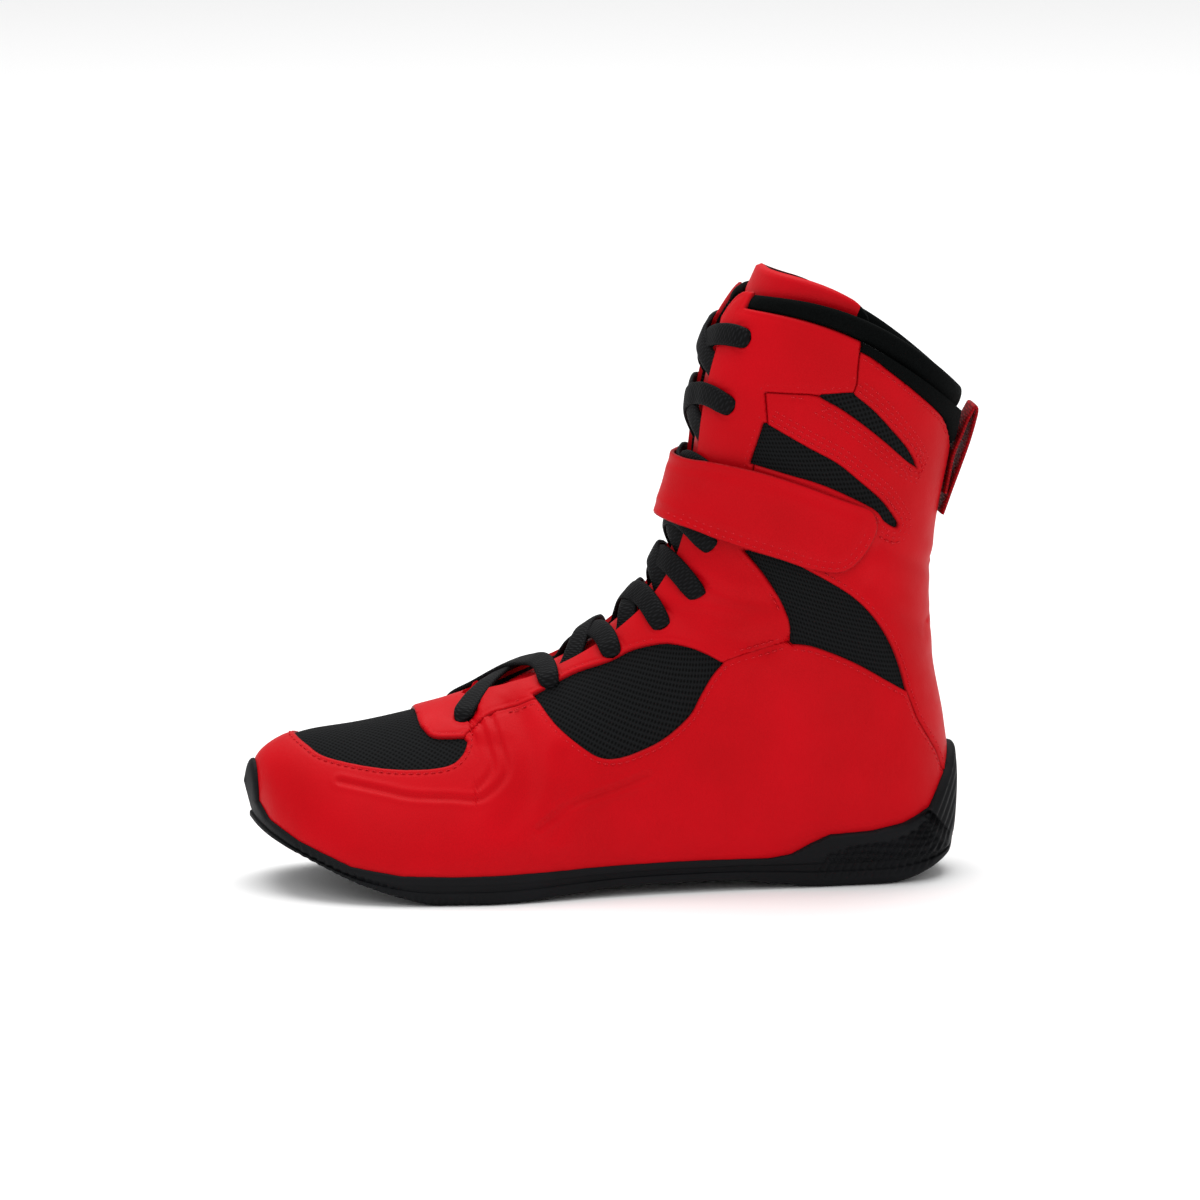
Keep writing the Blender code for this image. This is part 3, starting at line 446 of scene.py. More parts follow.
def trim(patch, field):
    """The part where field is 0 or more; a triangle on the line is cut where the field passes 0."""
    tri = patch["tri"]
    count = len(field)
    f = np.where(np.abs(field) < 0.08, 0.0, field)
    ahead = np.roll(tri, -1, axis=1)
    crossing = f[tri] * f[ahead] < 0
    key = np.minimum(tri, ahead) * count + np.maximum(tri, ahead)
    keys, place = np.unique(key[crossing], return_inverse=True)
    a, b = keys // count, keys % count
    w = f[a] / (f[a] - f[b])
    made = {name: patch[name] for name in patch if name != "tri"}
    grown = {}
    for name, values in made.items():
        share = w if values.ndim == 1 else w[:, None]
        grown[name] = np.concatenate([values, values[a] + (values[b] - values[a]) * share])
    grown["side"] = np.concatenate([patch["side"], np.sign(patch["side"][a] + patch["side"][b])])
    grown["edge"] = np.concatenate([f, 0 * w])
    cut = np.full(tri.shape, -1)
    cut[crossing] = count + place.ravel()
    whole = (f[tri] >= 0).all(axis=1)
    mixed = (f[tri] < 0).any(axis=1) & (f[tri] > 0).any(axis=1)
    slots = np.empty((mixed.sum(), 6), int)
    slots[:, 0::2] = np.where(f[tri[mixed]] >= 0, tri[mixed], -1)
    slots[:, 1::2] = cut[mixed]
    order = np.argsort(slots < 0, axis=1, kind="stable")
    packed = np.take_along_axis(slots, order, axis=1)[:, :4]
    grown["tri"] = np.concatenate([
        tri[whole], packed[packed[:, 2] >= 0][:, :3], packed[packed[:, 3] >= 0][:, [0, 2, 3]],
    ])
    return settle(compact(grown))


# ---- Meshes ----

def add_mesh(name, points, tri, materials, face_material=None, uv=None, fields=None, sharp=50.0):
    """An object from millimetre points and triangles, with corner UVs, vertex fields and smooth faces."""
    mesh = bpy.data.meshes.new(name)
    mesh.vertices.add(len(points))
    mesh.vertices.foreach_set("co", ((points + ORIGIN_SHIFT) * MM).ravel())
    mesh.loops.add(3 * len(tri))
    mesh.loops.foreach_set("vertex_index", tri.astype(np.int32).ravel())
    mesh.polygons.add(len(tri))
    mesh.polygons.foreach_set("loop_start", np.arange(0, 3 * len(tri), 3, dtype=np.int32))
    mesh.polygons.foreach_set("loop_total", np.full(len(tri), 3, dtype=np.int32))
    for material in materials:
        mesh.materials.append(material)
    if face_material is not None:
        mesh.polygons.foreach_set("material_index", face_material.astype(np.int32))
    if uv is not None:
        mesh.uv_layers.new(name="cloth").data.foreach_set("uv", (uv * MM).ravel())
    for field_name, values in (fields or {}).items():
        mesh.attributes.new(field_name, "FLOAT", "POINT").data.foreach_set("value", values.astype(np.float32))
    mesh.update(calc_edges=True)
    mesh.validate()
    mesh.shade_smooth()
    mesh.set_sharp_from_angle(angle=np.radians(sharp))
    piece = bpy.data.objects.new(name, mesh)
    bpy.context.scene.collection.objects.link(piece)
    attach(piece, "root")
    return piece


def fabric_uv(patch, tri):
    """Corner coordinates: length along the last, and length round it from the crest on the face's half."""
    side = np.sign(patch["side"][tri].sum(axis=1))[:, None]
    v, t = patch["v"][tri], patch["t"][tri]
    along = np.interp(v, TABLE_ROWS, TRAVEL)
    return np.stack([along, side * (1 - t) * np.interp(v, TABLE_ROWS, GIRTH)], axis=-1).reshape(-1, 2)


def rim_edges(tri, count):
    """Directed edges that only one triangle uses."""
    edges = np.concatenate([tri[:, [0, 1]], tri[:, [1, 2]], tri[:, [2, 0]]])
    forward = edges[:, 0] * count + edges[:, 1]
    return edges[~np.isin(forward, edges[:, 1] * count + edges[:, 0])]


def two_faced(tri, count, rim):
    """Triangles of a closed layer: outer face, inner face on the points that follow, and the rim's walls."""
    a, b = rim.T
    return np.concatenate([
        tri, tri[:, ::-1] + count, np.stack([b, a, a + count], 1), np.stack([b, a + count, b + count], 1),
    ])


def coat(name, patch, top, bottom, materials):
    """A closed layer on the last: the patch at two offsets, walled along its rim."""
    outer, inner = (
        patch["at"] + patch["normal"] * np.broadcast_to(offset, patch["v"].shape)[:, None]
        for offset in (top, bottom)
    )
    count = len(outer)
    tri = patch["tri"]
    faces = two_faced(tri, count, rim_edges(tri, count))
    face_material = np.zeros(len(faces), int)
    face_material[len(tri):2 * len(tri)] = len(materials) - 1
    doubled = {key: np.concatenate([patch[key], patch[key]]) for key in ("v", "t", "side")}
    edge = patch.get("edge", np.full(count, FAR))
    return add_mesh(
        name, np.concatenate([outer, inner]), faces, materials, face_material,
        fabric_uv(doubled, faces), {"edge": np.concatenate([edge, edge * 0])},
    )


def puffed(patch, low, high, radius, start=0.35):
    """Height over the rim: from a share of the layer at the edge, up a quarter ellipse to the whole."""
    return low + (high - low) * (start + (1 - start) * rounding(patch["edge"] / radius))


# ---- Materials ----

def linear(code):
    """An sRGB hex value as linear colour with alpha 1."""
    c = np.array([int(code[k:k + 2], 16) / 255 for k in (1, 3, 5)])
    return (*np.where(c <= 0.04045, c / 12.92, ((c + 0.055) / 1.055) ** 2.4), 1.0)


def add_node(tree, kind, inputs=None, stops=(), **settings):
    """A node with its settings, (position, colour) stops and input values; an output as value is linked."""
    made = tree.nodes.new(kind)
    for key, value in settings.items():
        setattr(made, key, value)
    for k, (position, colour) in enumerate(stops):
        made.color_ramp.elements[k].position = position
        made.color_ramp.elements[k].color = colour
    for key, value in (inputs or {}).items():
        if isinstance(value, bpy.types.NodeSocket):
            tree.links.new(value, made.inputs[key])
        else:
            made.inputs[key].default_value = value
    return made


def new_material(name, **values):
    """A material with its Principled shader's plain values set on the sockets."""
    material = bpy.data.materials.new(name)
    material.use_nodes = True
    shader = material.node_tree.nodes["Principled BSDF"]
    for key, value in values.items():
        shader.inputs[key.replace("_", " ")].default_value = value
    return material, material.node_tree, shader


def coated_microfibre(name, light, dark, backing_and_edge_shade):
    """Polyurethane-coated microfibre, rolled with a fine pebble grain: even colour, soft broad gloss."""
    material, tree, shader = new_material(name, Roughness=0.5, IOR=1.46, Specular_IOR_Level=0.1)
    place = add_node(tree, "ShaderNodeTexCoord").outputs["Object"]
    # Slow change of tone over some 40 mm, as a dyed coating has
    cloud = add_node(tree, "ShaderNodeTexNoise", {"Vector": place, "Scale": 26.0, "Detail": 3.0})
    tone = add_node(
        tree, "ShaderNodeValToRGB", {"Fac": cloud.outputs["Fac"]}, ((0.32, dark), (0.68, light)),
    ).outputs["Color"]
    # Within half a millimetre of the rim the colour turns darker: partly the darker backing that shows at the
    # cut edge, partly painted shade of the rolled edge
    edge = add_node(tree, "ShaderNodeAttribute", attribute_name="edge").outputs["Fac"]
    rim = add_node(tree, "ShaderNodeMapRange", {
        "Value": edge, "From Min": 0.0, "From Max": 0.7, "To Min": 0.55, "To Max": 0.0,
    }).outputs["Result"]
    mixed = add_node(tree, "ShaderNodeMix", {"Factor": rim, 6: tone, 7: backing_and_edge_shade}, data_type="RGBA")
    tree.links.new(mixed.outputs[2], shader.inputs["Base Color"])
    # Pebbles of 0.9 mm and broader softness of 6 mm; the real grain is 0.4 mm and would not show
    grain = add_node(tree, "ShaderNodeTexVoronoi", {"Vector": place, "Scale": 1100.0, "Randomness": 1.0})
    soft = add_node(tree, "ShaderNodeTexNoise", {"Vector": place, "Scale": 160.0, "Detail": 2.0})
    swell = add_node(tree, "ShaderNodeBump", {
        "Height": soft.outputs["Fac"], "Strength": 0.10, "Distance": 0.0006,
    })
    bump = add_node(tree, "ShaderNodeBump", {
        "Height": grain.outputs["Distance"], "Strength": 0.16, "Distance": 0.00025,
        "Normal": swell.outputs["Normal"],
    })
    tree.links.new(bump.outputs["Normal"], shader.inputs["Normal"])
    gloss = add_node(tree, "ShaderNodeMapRange", {
        "Value": soft.outputs["Fac"], "To Min": 0.42, "To Max": 0.58,
    })
    tree.links.new(gloss.outputs["Result"], shader.inputs["Roughness"])
    return material


def spacer_mesh(name):
    """Knitted polyester spacer mesh: black yarn round rows of small open cells, which stay darker."""
    material, tree, shader = new_material(name, Roughness=0.82, IOR=1.5, Specular_IOR_Level=0.08)
    cloth = add_node(tree, "ShaderNodeUVMap", uv_map="cloth").outputs["UV"]
    turned = add_node(tree, "ShaderNodeMapping", {"Vector": cloth, "Rotation": (0.0, 0.0, 0.7854)})
    # Cells 1.7 mm apart in diamond rows; the real 0.9 mm cells are too fine for the render
    cells = add_node(tree, "ShaderNodeTexVoronoi", {
        "Vector": turned.outputs["Vector"], "Scale": 590.0, "Randomness": 0.06,
    }, voronoi_dimensions="2D")
    tone = add_node(
        tree, "ShaderNodeValToRGB", {"Fac": cells.outputs["Distance"]},
        ((0.16, linear("#030303")), (0.46, linear("#161718"))),
    )
    tree.links.new(tone.outputs["Color"], shader.inputs["Base Color"])
    yarn = add_node(tree, "ShaderNodeTexNoise", {"Vector": cloth, "Scale": 2600.0, "Detail": 2.0})
    fine = add_node(tree, "ShaderNodeBump", {
        "Height": yarn.outputs["Fac"], "Strength": 0.25, "Distance": 0.0002,
    })
    bump = add_node(tree, "ShaderNodeBump", {
        "Height": cells.outputs["Distance"], "Strength": 0.6, "Distance": 0.0006,
        "Normal": fine.outputs["Normal"],
    })
    tree.links.new(bump.outputs["Normal"], shader.inputs["Normal"])
    return material


def brushed_tricot(name, code):
    """Brushed knit lining over foam: matt, with a short nap that catches light at its edge."""
    material, tree, shader = new_material(
        name, Roughness=0.92, IOR=1.5, Specular_IOR_Level=0.05, Sheen_Weight=0.01, Sheen_Roughness=0.4,
    )
    place = add_node(tree, "ShaderNodeTexCoord").outputs["Object"]
    nap = add_node(tree, "ShaderNodeTexNoise", {"Vector": place, "Scale": 1500.0, "Detail": 3.0})
    dark = linear(code)
    light = tuple(min(1.0, c * 2.2) for c in dark[:3]) + (1.0,)
    tone = add_node(tree, "ShaderNodeValToRGB", {"Fac": nap.outputs["Fac"]}, ((0.35, dark), (0.7, light)))
    tree.links.new(tone.outputs["Color"], shader.inputs["Base Color"])
    bump = add_node(tree, "ShaderNodeBump", {
        "Height": nap.outputs["Fac"], "Strength": 0.45, "Distance": 0.0004,
    })
    tree.links.new(bump.outputs["Normal"], shader.inputs["Normal"])
    return material


def moulded_rubber(name):
    """Compression-moulded carbon-black rubber: near black, slightly blue, with a faint mould bloom."""
    material, tree, shader = new_material(name, Roughness=0.6, IOR=1.52, Specular_IOR_Level=0.12)
    place = add_node(tree, "ShaderNodeTexCoord").outputs["Object"]
    bloom = add_node(tree, "ShaderNodeTexNoise", {"Vector": place, "Scale": 60.0, "Detail": 4.0})
    tone = add_node(
        tree, "ShaderNodeValToRGB", {"Fac": bloom.outputs["Fac"]},
        ((0.3, linear("#08090B")), (0.75, linear("#101114"))),
    )
    tree.links.new(tone.outputs["Color"], shader.inputs["Base Color"])
    # Spark-eroded mould skin, grit of about 0.5 mm
    grit = add_node(tree, "ShaderNodeTexNoise", {"Vector": place, "Scale": 1900.0, "Detail": 2.0})
    bump = add_node(tree, "ShaderNodeBump", {
        "Height": grit.outputs["Fac"], "Strength": 0.22, "Distance": 0.0003,
    })
    tree.links.new(bump.outputs["Normal"], shader.inputs["Normal"])
    gloss = add_node(tree, "ShaderNodeMapRange", {
        "Value": bloom.outputs["Fac"], "To Min": 0.5, "To Max": 0.72,
    })
    tree.links.new(gloss.outputs["Result"], shader.inputs["Roughness"])
    return material


def woven_tape(name, dark, light, rib):
    """Flat woven polyester tape: cross ribs of one yarn, rib millimetres apart, with a slight sheen."""
    material, tree, shader = new_material(name, Roughness=0.62, IOR=1.5, Specular_IOR_Level=0.1)
    cloth = add_node(tree, "ShaderNodeUVMap", uv_map="cloth").outputs["UV"]
    # A wave texture has 20 / (2 pi) bands a unit at scale 1, so this scale gives one band every rib mm
    ribs = add_node(tree, "ShaderNodeTexWave", {
        "Vector": cloth, "Scale": 1000.0 / rib / 6.2832 * 2, "Distortion": 1.2,
        "Detail": 2.0, "Detail Scale": 3.0,
    }, wave_type="BANDS", bands_direction="X")
    cross = add_node(tree, "ShaderNodeTexWave", {
        "Vector": cloth, "Scale": 1000.0 / (rib * 0.8) / 6.2832 * 2, "Distortion": 0.6,
    }, wave_type="BANDS", bands_direction="DIAGONAL")
    weave = add_node(
        tree, "ShaderNodeMath", {0: ribs.outputs["Fac"], 1: cross.outputs["Fac"]}, operation="MULTIPLY",
    )
    tone = add_node(tree, "ShaderNodeValToRGB", {"Fac": weave.outputs["Value"]}, ((0.1, dark), (0.8, light)))
    tree.links.new(tone.outputs["Color"], shader.inputs["Base Color"])
    bump = add_node(tree, "ShaderNodeBump", {
        "Height": weave.outputs["Value"], "Strength": 0.6, "Distance": 0.0003,
    })
    tree.links.new(bump.outputs["Normal"], shader.inputs["Normal"])
    return material


# Darker rim colour of the red pieces: the backing seen at the cut edge, and painted shade of the rolled edge
BACKING_AND_EDGE_SHADE = linear("#600208")
RED = coated_microfibre("coated_microfibre_red", linear("#C20010"), linear("#B6000C"), BACKING_AND_EDGE_SHADE)
RED_TONGUE = coated_microfibre("coated_microfibre_tongue", linear("#C00212"), linear("#B4010E"), BACKING_AND_EDGE_SHADE)
MESH = spacer_mesh("spacer_mesh_black")
LINING = brushed_tricot("brushed_tricot_black", "#040505")
RUBBER = moulded_rubber("moulded_rubber_black")
LACE_TAPE = woven_tape("woven_lace_black", linear("#040405"), linear("#17181A"), 1.1)
LOOP_TAPE = woven_tape("woven_loop_red", linear("#7E040C"), linear("#B90A16"), 1.2)
THREAD = woven_tape("bonded_thread_red", linear("#B4101A"), linear("#E8303A"), 0.8)

# ---- Upper: one black mesh wall with its lining inside ----

base = settle(skin_patch((0.0, THROAT_ROW, HEEL_ROW, UPPER_TOP_ROW), UPPER_STEP))
upper = coat("upper_mesh", base, 0.0, -UPPER_WALL, (MESH, LINING))
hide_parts("upper")

# ---- Red overlays ----

VAMP_WINDOW = rounded_outline((
    (-127.0, 82.0), (-126.5, 61.6), (-122.0, 58.8), (-115.2, 55.3), (-96.8, 52.4), (-80.4, 52.0),
    (-68.0, 53.6), (-62.0, 57.5), (-59.5, 62.0), (-61.0, 63.3), (-72.0, 63.0), (-76.0, 65.5),
    (-77.5, 69.0), (-77.5, 82.0),
), (0, 1, 8, 9, 13))
SIDE_WINDOW = rounded_outline((
    (-31.7, 79.0), (-15.2, 87.3), (-1.2, 92.3), (8.2, 97.0), (17.6, 99.6), (24.9, 99.9), (34.3, 97.6),
    (43.7, 92.8), (39.2, 87.6), (34.3, 79.5), (29.8, 71.8), (20.4, 63.8), (11.0, 59.1), (0.8, 56.1),
    (-7.8, 56.7), (-17.2, 62.7), (-24.6, 69.4), (-29.5, 76.1),
), (0, 7))
ANKLE_WINDOW = rounded_outline((
    (52.0, 139.1), (69.4, 134.6), (79.6, 129.6), (93.9, 120.8), (103.3, 112.0), (110.7, 100.7),
    (115.2, 89.9), (118.0, 79.6), (108.6, 85.5), (98.4, 91.5), (88.2, 96.3), (78.0, 99.9),
    (70.2, 100.6), (70.2, 109.1), (66.5, 118.6), (60.0, 129.1),
), (0, 7, 12))
MIDDLE_WINDOW = rounded_outline((
    (60.1, 191.0), (76.9, 181.1), (89.1, 174.2), (98.5, 166.4), (108.0, 157.7), (114.9, 148.1),
    (113.7, 146.5), (108.8, 149.5), (103.5, 155.4), (84.6, 164.9), (67.5, 170.4), (54.8, 174.0),
), (0, 5, 11))
TOP_WINDOW = rounded_outline((
    (80.7, 202.4), (89.3, 202.9), (94.6, 203.1), (103.6, 195.5), (111.0, 187.5), (117.5, 179.9),
    (121.2, 174.1), (122.8, 170.3), (117.5, 174.2), (108.9, 182.0), (99.5, 189.8), (90.1, 196.6),
    (83.6, 200.3),
), (0, 2, 7))
CUFF_LINE = ((98.2, 219.4), (104.0, 216.0), (120.0, 203.0), (133.0, 191.0), (137.4, 182.5))
COLLAR_PANEL = rounded_outline(
    ((98.2, 246.0),) + CUFF_LINE + ((138.8, 176.5), (165.0, 176.5), (165.0, 246.0)), (0, 1, 6, 7, 8),
)
WINDOWS = (VAMP_WINDOW, SIDE_WINDOW, ANKLE_WINDOW, MIDDLE_WINDOW, TOP_WINDOW)

# Joins between the red pieces, and the closed regions that they bound through the windows
FACING_FRONT = ((-61.5, 60.5), (-59.2, 64.6), (-50.0, 70.0), (-41.0, 74.2), (-29.5, 78.0))
FACING_ANKLE = ((41.0, 92.0), (50.0, 95.6), (60.0, 98.6), (73.0, 103.0))
FACING_STRAP = ((54.5, 136.5), (53.4, 155.0), (57.0, 177.0))
FACING_SHAFT = ((61.8, 187.6), (60.8, 203.0), (78.0, 202.6), (88.0, 200.6))
FACING_COLLAR = ((94.8, 201.4), (96.6, 206.5), (97.8, 221.0), (98.6, 222.5))
HEEL_SEAM = ((114.6, 86.2), (118.6, 78.5), (123.1, 67.4), (131.7, 53.2), (137.5, 38.0))
EYESTAY_REGION = np.array(
    ((-100.0, 270.0), (-100.0, 64.0), (-66.0, 60.0)) + FACING_FRONT + ((0.0, 80.0), (30.0, 88.0))
    + FACING_ANKLE + ((72.0, 118.0), (64.0, 130.0)) + FACING_STRAP + FACING_SHAFT + FACING_COLLAR
    + ((98.6, 270.0),)
)
SHAFT_REGION = np.array(
    FACING_STRAP + FACING_SHAFT + FACING_COLLAR + ((98.6, 270.0), (170.0, 270.0), (170.0, 38.0))
    + HEEL_SEAM[::-1] + ((100.0, 104.0), (88.0, 116.0), (72.0, 126.0))
)
BELOW_RUBBER = np.array(((170.0, -20.0), (-170.0, -20.0)) + RUBBER_TOP)
UNDER_RUBBER = 2.0

# Punched holes for the laces: rows of the last, and their reach to either side of the middle line
HOLE_ROWS = (6.95, 8.4, 9.65, 11.1, 12.9, 15.3, 17.7, 20.0, 21.95)
HOLE_REACHES = (17.2, 16.8, 17.0, 19.4, 21.4, 20.4, 20.5, 22.0, 22.0)
HOLE_REACH = 20.5
HOLE_RADIUS = 3.4
hole_v = np.repeat(HOLE_ROWS, 2)
hole_side = np.tile([-1.0, 1.0], len(HOLE_ROWS))
hole_points = last(hole_v, share_at(hole_v, np.repeat(HOLE_REACHES, 2)), hole_side)

LIP_SHARE = 0.35
DEEPEST_PRESS = 1.0

# Pressed lines in the coating: outline, depth and half-width
GROOVES = (
    (((-110.9, 47.1), (-94.5, 44.2), (-83.5, 42.3), (-67.9, 41.9), (-55.7, 42.0), (-45.4, 50.8),
      (-46.7, 61.6), (-49.1, 71.1)), 0.8, 1.35),
    (((-57.5, 45.2), (-51.0, 52.5), (-51.6, 61.0), (-53.6, 68.5)), 0.6, 1.25),
    (((-33.6, 30.4), (-23.4, 36.7), (-17.2, 39.5), (-7.0, 42.5), (0.0, 44.4), (12.2, 48.6)), 0.8, 1.4),
    (((119.4, 77.8), (123.1, 67.4), (131.7, 53.2), (134.6, 45.3)), 0.5, 1.2),
)
# Soft creases where the foot bends: a broad shallow trough along each line
CREASES = (
    (((-40.0, 74.0), (-36.0, 60.0), (-38.0, 44.0), (-46.0, 32.0)), 1.0, 5.0),
    (((-22.0, 56.0), (-20.0, 44.0), (-26.0, 30.0)), 0.8, 4.5),
    (((28.0, 108.0), (46.0, 103.0), (62.0, 100.0)), 0.9, 4.0),
    (((34.0, 124.0), (50.0, 118.0), (66.0, 118.0)), 0.9, 3.6),
    (((20.0, 112.0), (34.0, 112.0), (50.0, 110.0)), 0.7, 3.2),
    (((128.0, 104.0), (116.0, 112.0), (104.0, 124.0)), 0.95, 4.5),
    (((130.0, 128.0), (118.0, 134.0), (108.0, 140.0)), 0.8, 4.0),
)


def pressed(patch, lines):
    """Sum over the lines of a trough with a low lip on both sides, never through the layer.

    Trough: minus the depth times exp(-(distance / half-width)^2). Lip: LIP_SHARE of the depth times the
    same bell moved out to 1.8 half-widths.
    """
    depth = np.zeros(len(patch["v"]))
    for line, deep, half in lines:
        away = beside(patch, rounded_outline(line, closed=False)) / half
        depth += deep * (LIP_SHARE * np.exp(-(away - 1.8) ** 2) - np.exp(-away ** 2))
    return np.maximum(depth, -DEEPEST_PRESS)


FLAP_HEIGHT = 1.5
FLAP_X, FLAP_Z, FLAP_SLANT = -57.0, 64.0, 0.36
FLAP_STEP = 1.3
FLAP_LENGTH = 14.0


def flap(patch):
    """The facing folded over the first lace: a step up behind a slanting line, then easing down."""
    x, z = patch["at"][:, 0], patch["at"][:, 2]
    behind = x - (FLAP_X + (z - FLAP_Z) * FLAP_SLANT)
    rise = smooth_step(behind / FLAP_STEP) * (1 - smooth_step((behind - 5.0) / FLAP_LENGTH))
    return FLAP_HEIGHT * rise * smooth_step((z - 60.0) / 6.0)


THINNEST = 0.15
FACING_TOP_ROW = 23.12
FACING_CAP_REACH = 24.0
FACING_CORNER = 9.0
FAR_FACING_CORNER = 17.0
FRONT_ROW_HEIGHT = 14.0
STITCH_INSET = 2.1
# How far the foot's and the shaft's layers run in under their neighbours
UNDER_FACING = 0.6
UNDER_JOIN = 0.2


def top_field(patch):
    """Distance below the overlay's top: the upper's top row, but the row above it near the facing's edge.

    The facing covers the cuff's front end, and its own top corner is round.
    """
    row = stations(patch["v"])
    reach = half_width(row, height_share(row, patch["t"]))
    low = (UPPER_TOP_ROW - patch["v"]) * FRONT_ROW_HEIGHT * 1.4
    down = (FACING_TOP_ROW - patch["v"]) * FRONT_ROW_HEIGHT
    into = reach - THROAT_HALF_GAP + TOP_DRAW
    size = np.where(patch["side"] > 0, FAR_FACING_CORNER, FACING_CORNER)
    corner = size - np.hypot(np.maximum(size - down, 0), np.maximum(size - into, 0))
    cap = np.minimum(np.minimum(down, corner), FACING_CAP_REACH - TOP_DRAW - reach)
    front = patch["at"][:, 0] < 100.0
    rounded = np.where(patch["v"] > 21.9, corner, FAR)
    return np.where(front, np.minimum(np.maximum(low, cap), rounded), low)


def overlay_fields(patch):
    """Distances inside the whole red layer, the eyestay's region and the shaft's, and off the lace holes."""
    whole = np.minimum(UNDER_RUBBER - within(patch, BELOW_RUBBER), top_field(patch))
    for window in WINDOWS + (COLLAR_PANEL,):
        whole = np.minimum(whole, -within(patch, window))
    holes = np.full(len(patch["v"]), FAR)
    for point in hole_points:
        holes = np.minimum(holes, np.linalg.norm(patch["at"] - point, axis=1) - HOLE_RADIUS)
    return whole, within(patch, EYESTAY_REGION), within(patch, SHAFT_REGION), holes


def overlay_piece(name, node, patch, top, lines):
    """A red layer with a rolled edge, its stitch line and its grooves and creases pressed in."""
    seam = -0.2 * np.exp(-((patch["edge"] - STITCH_INSET) / 0.8) ** 2)
    height = puffed(patch, 0.1, top, EDGE_RADIUS) + flap(patch) + pressed(patch, lines) + seam
    piece = coat(name, patch, np.maximum(height, THINNEST), 0.0, (RED,))
    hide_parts(node)
    return piece


layer = settle(skin_patch((0.0, THROAT_ROW, HEEL_ROW, FACING_TOP_ROW), OVERLAY_STEP))
whole_field, eyestay_field, shaft_field, hole_field = overlay_fields(layer)
eyestay_patch = trim(layer, np.minimum.reduce([whole_field, eyestay_field, hole_field]))
foot_patch = trim(
    layer, np.minimum.reduce([whole_field, UNDER_FACING - eyestay_field, UNDER_JOIN - shaft_field]),
)
shaft_patch = trim(layer, np.minimum.reduce([whole_field, UNDER_JOIN - eyestay_field, shaft_field]))
overlay_piece("eyestay_red", "eyestay", eyestay_patch, EYESTAY_TOP, CREASES)
overlay_piece("foot_overlay_red", "foot_overlay", foot_patch, OVERLAY_TOP, GROOVES + CREASES)
overlay_piece("shaft_overlay_red", "shaft_overlay", shaft_patch, OVERLAY_TOP, GROOVES + CREASES)

# ---- Padded cuff: the panel round the back and the roll on the top edge ----

panel_patch = settle(skin_patch((20.2, UPPER_TOP_ROW), PANEL_STEP))
panel_patch = trim(panel_patch, within(panel_patch, COLLAR_PANEL) - 0.2)
panel = coat(
    "collar_panel_pad", panel_patch, puffed(panel_patch, 0.1, 3.0, 7.0, 0.2), 0.0, (LINING,),
)
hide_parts("collar_panel")

COLLAR_MIDDLE_ROW = 22.86
COLLAR_HALF_ROWS = 0.2
COLLAR_HALF_THICK = 2.6
COLLAR_CENTRE = -1.1
COLLAR_HALF_RUN = 105.0
COLLAR_COVERED = 16.0
COLLAR_THINNING = 0.34


def collar_roll():
    """A tube round the top edge: an oval of rows and offset from facing to facing, round at its ends."""
    around = np.linspace(-1, 1, 361)
    turn = np.linspace(0, 2 * np.pi, 29)[:-1]
    side = np.sign(around)[:, None] + 0 * turn
    distance = (1 - np.abs(around)) * COLLAR_HALF_RUN
    size = rounding((distance + 0.4) / 5.0)[:, None]
    v = COLLAR_MIDDLE_ROW + COLLAR_HALF_ROWS * size * np.sin(turn)
    t = throat_share(v) * np.abs(around)[:, None]
    # Thinner where the facing covers its front end
    covered = 1 - COLLAR_THINNING * smooth_step((COLLAR_COVERED - distance) / 6.0)[:, None]
    swell = COLLAR_HALF_THICK * size * covered
    offset = COLLAR_CENTRE + swell * np.sign(np.cos(turn)) * np.abs(np.cos(turn)) ** 0.8
    points = skin(v, t, side, offset)
    ends = np.stack([points[0].mean(axis=0), points[-1].mean(axis=0)])
    return np.concatenate([points.reshape(-1, 3), ends]), capped_tube(*v.shape)


points, tri = collar_roll()
collar = add_mesh("collar_roll", points, tri, (LINING,))
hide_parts("collar")


# ---- Tongue: red padded face outside, black lining inside ----

TONGUE_BOTTOM_ROW = 6.2
TONGUE_TOP_ROW = 23.97
TONGUE_DEPTH = ((6.0, 2.3), (21.0, 2.3), (22.4, 4.4), (24.0, 4.2))
TONGUE_SLOPE_ROW = 22.6
TONGUE_CORNER_DROP = 0.3
TONGUE_SIDE_DROP = 0.68
TONGUE_SLUMP = 0.3
TONGUE_PAD = 0.9


